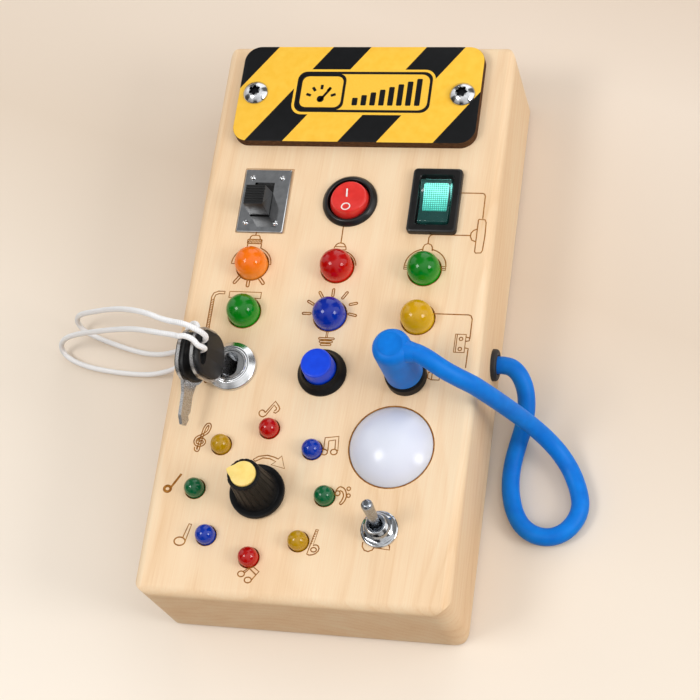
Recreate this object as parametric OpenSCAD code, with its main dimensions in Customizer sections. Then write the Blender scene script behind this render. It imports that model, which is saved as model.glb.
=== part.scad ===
// Wooden busy board: a pine block with switches, lamps, a key lock and a plug,
// each fitted through its own hole in the face and closed by a cover at the back.
// The board lies on its back: X runs across it, Y up towards the name plate and
// Z out of the face. The origin is the centre of the back face. Millimetres.

/* [Board] */
// Width of the pine block
board_w = 90; // [84:1:120]
// Length of the pine block
board_l = 176; // [172:1:220]
// Thickness of the pine block
board_t = 34; // [32:1:42]
// Radius of the four upright corners
corner_r = 5; // [3:0.5:8]
// Rounding of the long edges
edge_r = 2.5; // [1:0.5:3]
// Wood left between the pocket and the sides
side_wall = 7; // [6:0.5:8]
// Wood left between the pocket and the face
face_wall = 4.5; // [4:0.5:6]
// Top end of the milled pocket, from the middle of the board
pocket_top = 55; // [50:1:56]
// Radius of the milling cutter in the pocket corners
pocket_r = 4; // [2:0.5:5]

/* [Back cover] */
// Thickness of the plywood cover
cover_t = 3; // [2.5:0.5:4]
// Gap around the cover in its rebate
cover_gap = 0.2; // [0.1:0.05:0.4]
// Width of the ledge that the cover lies on, at the sides
ledge_w = 4; // [3:0.5:4.5]
// Shank diameter of the cover screws
cscrew_d = 3; // [2.5:0.1:3.2]
// Length of the cover screws
cscrew_l = 12; // [10:1:14]
// Head diameter of the cover screws
cscrew_head_d = 5.6; // [5:0.1:6]

/* [Battery box] */
// Middle of the battery box along the board
batt_y = 6; // [4:0.5:8]
// Diameter of one AA cell
cell_d = 14.2; // [13.5:0.1:14.4]
// Length of one AA cell over its button
cell_l = 50.5; // [49:0.1:50.5]
// Distance between the two cells' axes
cell_pitch = 14.7; // [14.6:0.1:15]
// Space left beyond the cells for the contacts
contact_room = 6; // [5.5:0.1:6.5]
// Wall of the battery box
box_wall = 1.4; // [1:0.1:1.8]
// Thickness of the battery door
door_t = 2.8; // [2.4:0.1:2.8]

/* [Name plate] */
// Width of the name plate
plate_w = 75; // [60:1:80]
// Height of the name plate
plate_h = 32.8; // [24:0.2:34]
// Thickness of the name plate
plate_t = 3.2; // [2.5:0.1:4]
// Corner radius of the name plate
plate_r = 5; // [2:0.5:8]
// Middle of the name plate across the board
plate_x = -1; // [-2:0.5:2]
// Middle of the name plate along the board
plate_y = 69.3; // [68:0.1:70]
// Distance between the two plate screws
plate_screw_pitch = 64.2; // [50:0.2:66]
// Shank diameter of the plate screws
pscrew_d = 4; // [3:0.1:4.5]
// Head diameter of the plate screws
pscrew_head_d = 7.8; // [6.5:0.1:9]
// Head height of the plate screws
pscrew_head_h = 2.3; // [1.8:0.1:3]
// Length of the plate screws under the head
pscrew_l = 16; // [10:1:20]

/* [Slide switch] */
// Middle of the slide switch across the board
slide_x = -25.7; // [-27:0.1:-25]
// Middle of the slide switch along the board
slide_y = 34.3; // [33:0.1:35]
// Width of the metal plate
slide_plate_w = 14.5; // [13:0.1:16]
// Height of the metal plate
slide_plate_h = 21; // [20:0.1:22]
// Thickness of the metal plate
slide_plate_t = 0.9; // [0.6:0.1:1.2]
// Width of the knob
slide_knob_w = 5.3; // [4:0.1:5.6]
// Length of the knob at its foot
slide_knob_l = 7.8; // [6:0.1:8]
// Height of the knob above the plate
slide_knob_h = 7.8; // [4:0.1:9]
// Travel of the knob
slide_travel = 3; // [2:0.1:3.2]
// Gap around the knob in the window
slide_gap = 0.3; // [0.2:0.05:0.4]

/* [Round rocker switch] */
// Middle of the round switch across the board
round_x = 0.8; // [-1:0.1:2]
// Middle of the round switch along the board
round_y = 34.6; // [33:0.1:36]
// Diameter of the bezel
round_bezel_d = 16.6; // [16:0.1:18]
// Height of the bezel above the face
round_bezel_h = 1.8; // [1.4:0.1:2.2]
// Diameter of the rocker's ball shape
round_rocker_d = 12.4; // [11:0.1:12.6]
// Tilt of the rocker to each side, in degrees
round_tilt = 8; // [5:0.5:10]

/* [Square rocker switch] */
// Middle of the square switch across the board
square_x = 26.6; // [25:0.1:28]
// Middle of the square switch along the board
square_y = 34.9; // [33:0.1:36]
// Width of the frame
square_frame_w = 14.8; // [14.6:0.1:16]
// Height of the frame
square_frame_h = 20.8; // [20.6:0.1:22]
// Thickness of the frame above the face
square_frame_t = 2; // [1.4:0.1:2.4]
// Width of the rocker
square_rocker_w = 9.2; // [8:0.1:9.4]
// Swing radius of the rocker's ends
square_rocker_r = 7.2; // [6:0.1:7.3]
// Tilt of the rocker to each side, in degrees
square_tilt = 8; // [5:0.5:10]

/* [Lamps] */
// Column pitch of the six large lamps
lamp_pitch_x = 26; // [24:0.5:27]
// Upper row of large lamps
lamp_row_1 = 13.1; // [12:0.1:14]
// Lower row of large lamps
lamp_row_2 = -2.2; // [-4:0.1:-1]
// Dome diameter of the large lamps
lamp_d = 9.5; // [8:0.1:10]
// Height of the dome centre above the face, large lamps
lamp_rise = 2; // [1:0.1:3]
// Dome diameter of the small lamps
mini_d = 5.6; // [4.8:0.1:6]
// Height of the dome centre above the face, small lamps
mini_rise = 1.3; // [0.5:0.1:2]
// Radius of the ring of small lamps
ring_r = 19; // [18:0.1:19.5]
// Thickness of the circuit boards
pcb_t = 1.6; // [1:0.1:2]
// Gap between a lamp and its hole
lamp_gap = 0.2; // [0.1:0.05:0.3]

/* [Key lock] */
// Middle of the lock across the board
lock_x = -27; // [-28:0.1:-26]
// Middle of the lock along the board
lock_y = -19.5; // [-20:0.1:-19]
// Diameter of the bezel
lock_bezel_d = 15.1; // [14.5:0.1:16]
// Diameter of the threaded barrel
lock_barrel_d = 12; // [11.5:0.1:13]
// Diameter of the turning core
lock_core_d = 8.4; // [8.4:0.1:9]
// Height of the bezel above the face
lock_rise = 3; // [2.6:0.1:3.4]
// Turn of the key, in degrees
key_turn = 90; // [45:5:90]

/* [Keys] */
// Thickness of the steel blade
key_t = 1; // [0.8:0.1:1.2]
// Width of the blade
key_blade_w = 4.6; // [4:0.1:4.6]
// Width of the head
key_head_w = 15; // [13:0.1:15]
// Length of the head
key_head_l = 15.4; // [14:0.1:15.4]
// Thickness of the plastic on each side of the head
key_grip_t = 1; // [0.6:0.1:1]
// Steel rim left bare around the plastic
key_rim = 0.8; // [0.4:0.1:1.2]
// Length of the slot for the cord
key_slot_l = 8; // [7.5:0.1:8.5]
// Width of the slot for the cord
key_slot_w = 3; // [2.8:0.1:3.2]

/* [Key cord] */
// Diameter of the braided cord
cord_d = 1.8; // [1.4:0.1:1.8]

/* [Push button] */
// Middle of the button across the board
button_x = 0.3; // [-1:0.1:1]
// Middle of the button along the board
button_y = -20.2; // [-21:0.1:-19]
// Diameter of the bezel
button_bezel_d = 14.2; // [13.8:0.1:16]
// Height of the bezel above the face
button_bezel_h = 3; // [2.4:0.1:3.4]
// Diameter of the threaded body
button_body_d = 12; // [11.8:0.1:12.4]
// Diameter of the cap
button_cap_d = 9.6; // [8:0.1:9.8]
// Height of the cap above the bezel
button_cap_h = 5; // [4:0.1:6]
// Travel of the cap
button_travel = 2.5; // [1.5:0.1:3]

/* [Plug and socket] */
// Middle of the socket across the board
socket_x = 25; // [24:0.1:26]
// Middle of the socket along the board
socket_y = -20.1; // [-21:0.1:-19]
// Diameter of the socket's collar
socket_d = 11.8; // [11.4:0.1:13]
// Height of the socket's collar above the face
socket_h = 3.6; // [2:0.1:4]
// Diameter of the socket's threaded body
socket_body_d = 8; // [7.6:0.1:9]
// Diameter of the plug's round body
plug_d = 11; // [9.6:0.1:11.2]
// Height of the plug above the collar
plug_h = 20; // [17:0.5:20]
// Turn of the plug's arm towards the lower end, in degrees
plug_turn = 8; // [0:1:20]
// Diameter of the metal tip
tip_d = 3.5; // [3:0.1:4]
// Length of the metal tip
tip_l = 11; // [9:0.5:12]
// Diameter of the blue cable
cable_d = 5.2; // [4:0.1:5.2]

/* [Side grommet] */
// Place of the grommet along the right side
grommet_y = -7.1; // [-8:0.1:-6]
// Height of the grommet above the back
grommet_z = 13.4; // [12:0.1:14]
// Diameter of the grommet's flange
grommet_d = 9.4; // [8:0.1:10]
// Diameter of the cord hole in the left side
cord_hole_d = 5; // [4.8:0.1:6]
// Place of the cord hole along the left side
cord_hole_y = -9.1; // [-9.4:0.1:-8.8]
// Height of the cord hole above the back
cord_hole_z = 16; // [15:0.1:17]

/* [Dome lamp] */
// Middle of the dome lamp across the board
dome_x = 23.3; // [22:0.1:24]
// Middle of the dome lamp along the board
dome_y = -41.3; // [-42:0.1:-40]
// Diameter of the dome
dome_d = 23.7; // [22:0.1:24.6]
// Height of the dome above the face
dome_h = 5.6; // [4:0.1:8]

/* [Toggle switch] */
// Middle of the toggle switch across the board
toggle_x = 23.2; // [22:0.1:24]
// Middle of the toggle switch along the board
toggle_y = -65.4; // [-66:0.1:-64]
// Diameter of the threaded bushing
toggle_bush_d = 6; // [5.8:0.1:6.4]
// Diameter of the washer
toggle_washer_d = 10.6; // [10:0.1:12]
// Tip diameter of the lever
toggle_tip_d = 2.9; // [2.4:0.1:3]
// Length of the lever from its pivot
toggle_lever_l = 14; // [10:0.5:15]
// Tilt of the lever to each side, in degrees
toggle_tilt = 9; // [7:0.5:10]

/* [Rotary switch and knob] */
// Middle of the knob across the board
dial_x = -12.9; // [-13:0.1:-12]
// Middle of the knob along the board
dial_y = -57; // [-58:0.1:-56]
// Diameter of the shaft
shaft_d = 6; // [4:0.1:6]
// Diameter of the threaded bushing
dial_bush_d = 7; // [7:0.1:8]
// Diameter of the knob's skirt
knob_skirt_d = 15.8; // [15:0.1:18]
// Diameter of the ribbed grip at the top
knob_grip_d = 10; // [9.6:0.1:11]
// Height of the knob
knob_h = 17; // [15:0.5:19]
// Number of ribs around the grip
knob_ribs = 18; // [12:1:24]
// Direction that the pointer shows at rest, in degrees
pointer_at = 168; // [0:1:359]

/* [Hidden] */
$fn = 64;
face = board_t;                       // the front face
inner = board_t - face_wall;          // the inner side of the face
fit = 0.15;                           // radial gap of a body in its hole
run = 0.05;                           // radial gap of a shaft in its bore
pocket_hw = board_w / 2 - side_wall;
pocket_bottom = -board_l / 2 + side_wall;
ledge_top = pocket_top + side_wall;
cover_hw = pocket_hw + ledge_w;
cover_y0 = pocket_bottom - ledge_w;
block = 7;                            // wood blocks in the two lower corners
screw_land = 6.9;                     // box beyond the cells, for the door's screw
door_land_x = (cell_l + contact_room + box_wall + 0.4 + screw_land) / 2;
mid_block_y = 23.5;                   // wood blocks half way up the pocket
mid_block_in = max(1, pocket_hw - door_land_x - 0.4);
screw_spots = [
    [-(pocket_hw - 2), pocket_bottom + 2], [pocket_hw - 2, pocket_bottom + 2],
    [-(pocket_hw - 2), pocket_top + 3.5], [pocket_hw - 2, pocket_top + 3.5],
    [-(pocket_hw - 0.5), mid_block_y], [pocket_hw - 0.5, mid_block_y]];

// battery box
cave_l = cell_l + contact_room;       // inner length
cave_w = 2 * cell_d + 1.2;            // inner width
cave_h = cell_d + 0.6;                // inner height
box_x1 = door_land_x;                 // right end of the box, outside
box_x0 = -box_x1;
cave_x0 = box_x0 + box_wall + 0.4;
cave_x1 = cave_x0 + cave_l;
door_w = box_x1 - box_x0 - 0.8;
door_h = cave_w + 2.8;
door_screw_x = (cave_x1 + door_w / 2) / 2;
box_top = cover_t + cave_h + box_wall;
cell_z = cover_t + 0.3 + cell_d / 2;
lamp_pcb_z = box_top + 1.8;           // underside of the large lamps' board
post_spots = [[-13, 4], [13, 4], [-13, -6], [13, -6]];

lamp_spots = [[-lamp_pitch_x, lamp_row_1], [0, lamp_row_1], [lamp_pitch_x, lamp_row_1],
              [-lamp_pitch_x, lamp_row_2], [0, lamp_row_2], [lamp_pitch_x, lamp_row_2]];
function ring_spot(i) = [dial_x + 0.3 + ring_r * cos(45 * i), dial_y + 0.1 + ring_r * sin(45 * i)];
lead_a = 0.6;                         // side of a lamp's square leg
lead_hole = 1.05;

// slide switch
slide_top = face + 0.25;
slide_low = slide_top - slide_plate_t;
window_w = slide_knob_w + 2 * slide_gap + 0.2;
window_l = slide_knob_l + slide_travel + 2 * slide_gap;
window_x = slide_x - 0.6;
window_y = slide_y + 0.3;
slide_body_w = 12;
slide_body_h = 17.4;
slide_foot_w = window_w + 2.2;
slide_foot_l = slide_knob_l + 1.6;
knob_rest_y = window_y - window_l / 2 + slide_gap + slide_knob_l / 2;

// switch bodies under the face
slide_body_low = 25;
slide_lug_low = 21;
slide_lug_pitch = 4.5;
round_body_d = 14.6;
round_body_low = 21;
round_lug_low = 16;
square_body_w = 12.8;
square_body_h = 18.6;
square_body_low = 20;
square_lug_low = 14.5;
square_lug_pitch = 6;
contact_plate = 10;                   // side of the battery contacts
rocker_foot = 4.2;                    // rocker below its pivot
toggle_body_w = 8;
toggle_body_h = 13.2;
toggle_body_t = 9.6;
toggle_lug = 4;

// rockers
round_pivot = face + round_bezel_h - 2.6;
square_pivot = face + square_frame_t - 2.8;
pin_r = 1;

// lock and keys
lock_top = face + lock_rise;
lock_end = 18.5;
core_top = face + 2.2;
keyway_w = 4.8;
keyway_l = 7.4;
keyway_z = 26.2;
key_tip = -5;
key_head = 7;
key_at = [lock_x + 0.2, lock_y + 0.3, face - 2.5];
key_lean = [6, -16, 0];
spare_at = [lock_x - 9.15, lock_y - 15.9, face + 7.2];
spare_lean = [-81, -13.5, -3];
slot_at = key_head + key_head_l - 3.9;

// button
button_end = 17;
button_top = face + button_bezel_h;
cap_top = button_top + button_cap_h;
cap_low = 26;
button_floor = 19;
button_seat = 31.5;
button_lip = 2.6;

// socket and plug
socket_top = face + socket_h;
socket_end = 20;
plug_low = socket_top + 0.02;
plug_top = plug_low + plug_h;
cable_z = plug_top - cable_d / 2 - 0.9;

// toggle
toggle_bush_top = face + 5.4;
toggle_washer_t = 0.8;
toggle_nut_h = 2;
toggle_pivot = face + 2.2;

// dial
dial_bush_top = face + 4;
dial_nut_h = 2;
dial_pcb_z = 20.4;
knob_low = face + 0.5;
knob_top = knob_low + knob_h;

at_hole = [-board_w / 2, cord_hole_y, cord_hole_z];
at_lock = [lock_x, lock_y, face];
at_plug = [socket_x, socket_y, cable_z];
at_grommet = [board_w / 2, grommet_y, grommet_z];
along_arm = [cos(plug_turn), -sin(plug_turn), 0];

// the blue cable: out of the plug, down to the floor, round one loop and back
// to the grommet
cable_path = [
    at_plug + 5.2 * along_arm, at_plug + 7.1 * along_arm, at_plug + [9.8, -2.05, -0.85],
    at_plug + [12.4, -3.2, -2.5], [40.0, -24.2, 49.4], [43.2, -24.9, 46.5], [46.61, -25.3, 42.43],
    [50.07, -25.62, 35.99], [53.3, -25.5, 27.81], [56.41, -25.54, 19.89],
    [59.62, -26.31, 13.57], [62.91, -28.01, 8.78], [65.91, -30.47, 5.53],
    [68.73, -33.97, 3.38], [70.75, -37.75, 2.85], [72.2, -41.6, 2.8], [72.8, -45.4, 2.8],
    [71.8, -49.4, 2.8], [69, -53, 2.8], [65, -54.8, 2.8], [60.6, -54.4, 2.8],
    [56.8, -52, 2.8], [54.2, -48, 2.8], [52.6, -43, 2.8], [52, -38, 2.8],
    [52.2, -33, 2.9], [53, -28, 3.2], [54.2, -22.8, 4.4], [55, -17.6, 6.8],
    [54.6, -13, 9.6], [53, -9.6, 12], at_grommet + [5.8, -0.6, -0.2],
    at_grommet + [3.4, 0, 0], at_grommet + [0.8, 0, 0]];

// the braided cord: two strands from the left side to the keys and one bight
// through both slots
upper_path = [
    at_hole + [4, 1, 0.9], at_hole + [-0.6, 1.1, 0.9], at_hole + [-4.4, 1.7, -0.4],
    [-53, -6.4, 12], [-57.2, -5.4, 7.6], [-62, -4.4, 3.8], [-67.6, -3.3, 1.6],
    [-73.6, -1.9, 1.1], [-79.4, -0.2, 1.1], [-84.6, 1.5, 1.3], [-88.6, 3.1, 2.4],
    [-90.2, 4.5, 5.2], [-88.8, 4.8, 9.2], [-85, 3.7, 14.6], [-79.6, 1.6, 21],
    [-73.2, -1, 28.6], [-66.4, -3.8, 36.4], [-59.6, -6.8, 43.8], [-53, -9.8, 50],
    at_lock + [-20.4, 7.3, 19.6], at_lock + [-15.8, 5.4, 21], at_lock + [-11.4, 4.1, 22]];
lower_path = [
    at_hole + [4, -1, -1], at_hole + [-0.6, -1.1, -1.1], at_hole + [-4.4, -1.5, -2.8],
    [-53.4, -11, 9.6], [-58, -11, 6], [-63.4, -10.8, 3], [-69, -10.4, 1.4],
    [-75, -10, 1.1], [-81.2, -9.3, 1.1], [-87, -8.1, 1.1], [-91.8, -6.3, 1.4],
    [-94.4, -4.3, 2.8], [-94, -3, 5.8], [-91, -2.7, 9.8], [-86, -3.5, 14.8],
    [-80, -5.2, 20.8], [-73.4, -7.4, 27.6], [-66.4, -9.8, 34.8], [-59.6, -12.2, 41.6],
    [-53.4, -14.4, 47.2], [-47.8, -16.4, 51.2], at_lock + [-15.6, 1.6, 19.5],
    at_lock + [-11.8, 0.7, 20.8], at_lock + [-9.95, 0.16, 21.42]];
bight_path = [
    [-11.3, 4.1, 22.1], [-9.1, 3.5, 22.9], [-6.8, 2.8, 23.1], [-4.7, 2.1, 22.6],
    [-3.1, 1.7, 21], [-2.5, 1.5, 18.8], [-3.3, 1.4, 16.6], [-5.2, 1.1, 15.3],
    [-7.1, 1.9, 14.3], [-7.1, 4.3, 13.8], [-7.4, 6.7, 13.8], [-9, 7.8, 12.6],
    [-10.6, 7.5, 11.1], [-11.6, 5.7, 10], [-11.3, 3.5, 9.7], [-9.4, 2.4, 9.7],
    [-7.3, 1.8, 10.4], [-6.7, 0.3, 11.9], [-6.9, -1.1, 13.7], [-5.2, -1.5, 15.1],
    [-3.2, -1.4, 16.2], [-2.7, -1.8, 18.3], [-3.7, -1.9, 20.3], [-5.1, -0.8, 21.6],
    [-7.3, -0.1, 22.1], [-9.55, -0.04, 21.65]];

// ---- shared shapes ----

// rectangle with true round corners
module round_rect(w, l, r) {
    square([w - 2 * r, l], center = true);
    square([w, l - 2 * r], center = true);
    for (sx = [-1, 1], sy = [-1, 1])
        translate([sx * (w / 2 - r), sy * (l / 2 - r)]) circle(r);
}

// slot with round ends, long side along Y
module obround(w, l) {
    square([w, l - w], center = true);
    for (s = [-1, 1]) translate([0, s * (l - w) / 2]) circle(w / 2);
}

// hole through the face at a place
module face_hole(x, y, d) {
    translate([x, y, inner - 1]) cylinder(d = d, h = face_wall + 2);
}

// hexagonal nut, its lower face at z = 0
module hex_nut(af, h, bore) {
    difference() {
        cylinder(d = af / cos(30), h = h, $fn = 6);
        translate([0, 0, -1]) cylinder(r = bore, h = h + 2);
    }
}

// countersunk screw pointing up, its head at z = 0
module flat_screw(d, head, l) {
    difference() {
        union() {
            cylinder(d = d, h = l - 1);
            cylinder(d1 = head, d2 = d, h = (head - d) / 2);
            translate([0, 0, l - 1]) cylinder(d1 = d, d2 = 0.8, h = 1);
        }
        for (a = [0, 90]) rotate(a) translate([-1.4, -0.3, -1]) cube([2.8, 0.6, 1.7]);
    }
}

// round lamp with a dome, a flange under the face and two legs
module dome_led(x, y, d, rise, foot, legs) {
    translate([x, y, 0]) {
        translate([0, 0, face + rise]) sphere(d = d);
        translate([0, 0, inner - 1.2]) cylinder(d = d, h = face + rise - inner + 1.2);
        translate([0, 0, inner - 1.2]) cylinder(d = d + 1.4, h = 1.2);
        for (s = [-1, 1])
            translate([s * legs - lead_a / 2, -lead_a / 2, foot - 1]) cube([lead_a, lead_a, inner - foot]);
    }
}

// tube swept along points: rings from the direction at each point
function unit(v) = v / norm(v);
function way(p, i) = unit(p[min(i + 1, len(p) - 1)] - p[max(i - 1, 0)]);
function side_of(t) = unit(cross(t, abs(t[2]) < 0.9 ? [0, 0, 1] : [1, 0, 0]));
function carried(p, i) = i == 0 ? side_of(way(p, 0))
    : let (s = carried(p, i - 1), t = way(p, i)) unit(s - t * (s * t));
function ring_at(c, t, s, r, n) = [for (k = [0:n - 1])
    c + r * (cos(360 * k / n) * s + sin(360 * k / n) * cross(t, s))];
function bend(a, b, c, d, t) = 0.5 * (2 * b + (c - a) * t + (2 * a - 5 * b + 4 * c - d) * t * t
    + (3 * b - a - 3 * c + d) * t * t * t);
function smooth(p, k) = [for (i = [0:len(p) - 2], j = [0:k - 1])
    bend(p[max(i - 1, 0)], p[i], p[i + 1], p[min(i + 2, len(p) - 1)], j / k), p[len(p) - 1]];
module swept(p, r, n) {
    m = len(p);
    pts = [for (i = [0:m - 1]) each ring_at(p[i], way(p, i), carried(p, i), r, n)];
    sides = [for (i = [0:m - 2], k = [0:n - 1])
        [i * n + k, i * n + (k + 1) % n, (i + 1) * n + (k + 1) % n, (i + 1) * n + k]];
    polyhedron(points = pts, faces = concat([[for (k = [0:n - 1]) n - 1 - k]], sides,
        [[for (k = [0:n - 1]) (m - 1) * n + k]]), convexity = 8);
}

// ---- wooden block ----

module board_blank() {
    intersection() {
        linear_extrude(board_t) round_rect(board_w, board_l, corner_r);
        translate([0, board_l / 2 + 1, board_t / 2]) rotate([90, 0, 0])
            linear_extrude(board_l + 2) round_rect(board_w, board_t, edge_r);
        translate([-board_w / 2 - 1, 0, board_t / 2]) rotate([90, 0, 90])
            linear_extrude(board_w + 2) round_rect(board_l, board_t, edge_r);
    }
}

module pocket_outline() {
    difference() {
        translate([0, (pocket_top + pocket_bottom) / 2])
            round_rect(2 * pocket_hw, pocket_top - pocket_bottom, pocket_r);
        for (s = [-1, 1]) {
            translate([s * pocket_hw, pocket_bottom]) square(2 * block, center = true);
            translate([s * pocket_hw, mid_block_y]) square([2 * mid_block_in, block], center = true);
        }
    }
}

module wooden_body() {
    color("#eed6ac") difference() {
        board_blank();
        translate([0, 0, cover_t]) linear_extrude(inner - cover_t) pocket_outline();
        translate([0, (ledge_top + cover_y0) / 2, -1])
            linear_extrude(cover_t + 1) round_rect(2 * cover_hw, ledge_top - cover_y0, 3);
        for (p = screw_spots) translate([p[0], p[1], 0]) cylinder(r = cscrew_d / 2 + run, h = cscrew_l + 1);
        // name plate screws
        for (s = [-1, 1]) translate([plate_x + s * plate_screw_pitch / 2, plate_y, face - pscrew_l])
            cylinder(r = pscrew_d / 2 + run, h = pscrew_l + 1);
        // slide switch: a shallow seat for the plate and a way for its body
        translate([slide_x + 0.25, slide_y, slide_low])
            linear_extrude(5) round_rect(slide_plate_w + 0.9, slide_plate_h + 0.7, 0.5);
        translate([slide_x, slide_y, inner - 1])
            linear_extrude(9) square([slide_body_w + 2 * fit, slide_body_h + 2 * fit], center = true);
        face_hole(round_x, round_y, round_body_d + 2 * fit);
        translate([square_x, square_y, inner - 1])
            linear_extrude(9) square([square_body_w + 2 * fit, square_body_h + 2 * fit], center = true);
        for (p = lamp_spots) face_hole(p[0], p[1], lamp_d + 2 * lamp_gap);
        for (i = [0:7]) face_hole(ring_spot(i)[0], ring_spot(i)[1], mini_d + 2 * lamp_gap);
        face_hole(lock_x, lock_y, lock_barrel_d + 2 * fit);
        face_hole(button_x, button_y, button_body_d + 2 * fit);
        face_hole(socket_x, socket_y, socket_body_d + 2 * fit);
        face_hole(dome_x, dome_y, dome_d + 0.5);
        face_hole(toggle_x, toggle_y, toggle_bush_d + 2 * fit);
        face_hole(dial_x, dial_y, dial_bush_d + 2 * fit);
        // cable hole on the right, cord hole on the left
        translate([pocket_hw - 1, grommet_y, grommet_z]) rotate([0, 90, 0]) cylinder(d = grommet_d - 2.4 + 2 * run, h = side_wall + 2);
        translate([-board_w / 2 - 1, cord_hole_y, cord_hole_z]) rotate([0, 90, 0]) cylinder(d = cord_hole_d, h = side_wall + 2);
    }
}

// ---- back ----

module back_cover() {
    color("#dcc08c") difference() {
        translate([0, (ledge_top + cover_y0) / 2, 0]) linear_extrude(cover_t)
            round_rect(2 * (cover_hw - cover_gap), ledge_top - cover_y0 - 2 * cover_gap, 3 - cover_gap);
        translate([(box_x0 + box_x1) / 2, batt_y, -1]) linear_extrude(cover_t + 2)
            square([door_w + 0.6, door_h + 0.6], center = true);
        for (p = screw_spots) translate([p[0], p[1], 0]) {
            translate([0, 0, -1]) cylinder(r = cscrew_d / 2 + run, h = cover_t + 2);
            translate([0, 0, -0.01]) cylinder(d1 = cscrew_head_d + 0.4, d2 = cscrew_d + 0.1, h = (cscrew_head_d - cscrew_d + 0.3) / 2);
        }
    }
}

module cover_screws() {
    color("#b9bcc0") {
        for (p = screw_spots) translate([p[0], p[1], 0.15]) flat_screw(cscrew_d, cscrew_head_d, cscrew_l);
        translate([door_screw_x, batt_y, 0.35]) flat_screw(cscrew_d, cscrew_head_d, cscrew_l);
    }
}

module battery_box() {
    color("#26272a") difference() {
        union() {
            translate([box_x0, batt_y - cave_w / 2 - box_wall, cover_t])
                cube([box_x1 - box_x0, cave_w + 2 * box_wall, box_top - cover_t]);
            translate([box_x0, batt_y - cave_w / 2 - 4.6, cover_t]) cube([box_x1 - box_x0, cave_w + 9.2, 1.2]);
            for (p = post_spots) translate([p[0], batt_y + p[1], box_top - 0.5]) cylinder(d = 4, h = 2.3);
        }
        translate([cave_x0, batt_y - cave_w / 2, cover_t - 1]) cube([cave_l, cave_w, cave_h + 1]);
        translate([door_screw_x, batt_y, cover_t - 1]) cylinder(r = cscrew_d / 2 + run, h = cscrew_l);
    }
}

module battery_door() {
    color("#2c2d30") difference() {
        translate([(box_x0 + box_x1) / 2, batt_y, cover_t - door_t]) linear_extrude(door_t)
            round_rect(door_w, door_h, 0.8);
        translate([door_screw_x, batt_y, -1]) cylinder(r = cscrew_d / 2 + run, h = 6);
        translate([door_screw_x, batt_y, cover_t - door_t - 0.01]) cylinder(d1 = cscrew_head_d + 0.6, d2 = cscrew_d + 0.1, h = (cscrew_head_d - cscrew_d + 0.5) / 2);
        for (i = [0:3]) translate([box_x0 + 6 + 2.4 * i, batt_y - 6, cover_t - door_t - 0.5]) cube([1.2, 12, 1]);
    }
}

module battery_contacts() {
    color("#c9ccd0") for (s = [-1, 1]) {
        translate([0, batt_y + s * cell_pitch / 2, cell_z]) {
            translate([s > 0 ? cave_x0 : cave_x1 - 0.5, -contact_plate / 2, -contact_plate / 2]) cube([0.5, contact_plate, contact_plate]);
            translate([s > 0 ? cave_x1 - 0.5 : cave_x0, -contact_plate / 2, -contact_plate / 2]) cube([0.5, contact_plate, contact_plate]);
            // cone spring at the flat end of the cell
            translate([s > 0 ? cave_x1 - 0.5 : cave_x0 + 0.5, 0, 0]) rotate([0, s > 0 ? -90 : 90, 0])
                for (k = [0:5]) translate([0, 0, 0.3 + (contact_room - 2.1) * k / 5])
                    rotate_extrude() translate([4 - 0.4 * k, 0]) circle(0.52, $fn = 16);
        }
    }
}

module aa_cells() {
    color("#3a3f47") for (s = [-1, 1])
        translate([0, batt_y + s * cell_pitch / 2, cell_z]) {
            x0 = s > 0 ? cave_x0 + 0.5 : cave_x1 - 0.5;
            translate([x0, 0, 0]) rotate([0, s > 0 ? 90 : -90, 0]) {
                cylinder(d = 5.4, h = 2);
                translate([0, 0, 1]) cylinder(d = cell_d, h = cell_l - 1);
            }
        }
}

// ---- name plate ----

module name_plate() {
    color("#f6c32c") difference() {
        translate([plate_x, plate_y, face]) linear_extrude(plate_t) round_rect(plate_w, plate_h, plate_r);
        for (s = [-1, 1]) translate([plate_x + s * plate_screw_pitch / 2, plate_y, face - 1])
            cylinder(r = pscrew_d / 2 + run, h = plate_t + 2);
    }
}

module name_plate_screws() {
    color("#c8cbcf") for (s = [-1, 1])
        translate([plate_x + s * plate_screw_pitch / 2, plate_y, face + plate_t]) {
            difference() {
                intersection() {
                    cylinder(d = pscrew_head_d, h = pscrew_head_h);
                    translate([0, 0, pscrew_head_h - 5]) sphere(r = 5);
                }
                translate([0, 0, pscrew_head_h - 1.2]) for (a = [0, 60, 120]) rotate(a)
                    translate([-2, -0.6, 0]) cube([4, 1.2, 3]);
            }
            translate([0, 0, -pscrew_l + 1]) cylinder(d = pscrew_d, h = pscrew_l - 1 + 0.2);
        }
}

// ---- slide switch ----

module slide_switch_plate() {
    color("#c4c7cb") difference() {
        translate([slide_x, slide_y, slide_low]) linear_extrude(slide_plate_t)
            round_rect(slide_plate_w, slide_plate_h, 0.4);
        translate([window_x, window_y, slide_low - 1]) linear_extrude(4) square([window_w, window_l], center = true);
        for (sx = [-1, 1], sy = [-1, 1]) translate([slide_x + sx * 4.6, slide_y + sy * 7.5, slide_low - 1]) cylinder(r = 0.5 + run, h = 4);
    }
}

module slide_switch_rivets() {
    color("#d4d6d9") for (sx = [-1, 1], sy = [-1, 1])
        translate([slide_x + sx * 4.6, slide_y + sy * 7.5, slide_top]) {
            intersection() {
                cylinder(r = 0.8, h = 0.5);
                translate([0, 0, -0.5]) sphere(r = 1);
            }
            translate([0, 0, -2.5]) cylinder(r = 0.5, h = 2.6);
        }
}

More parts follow.
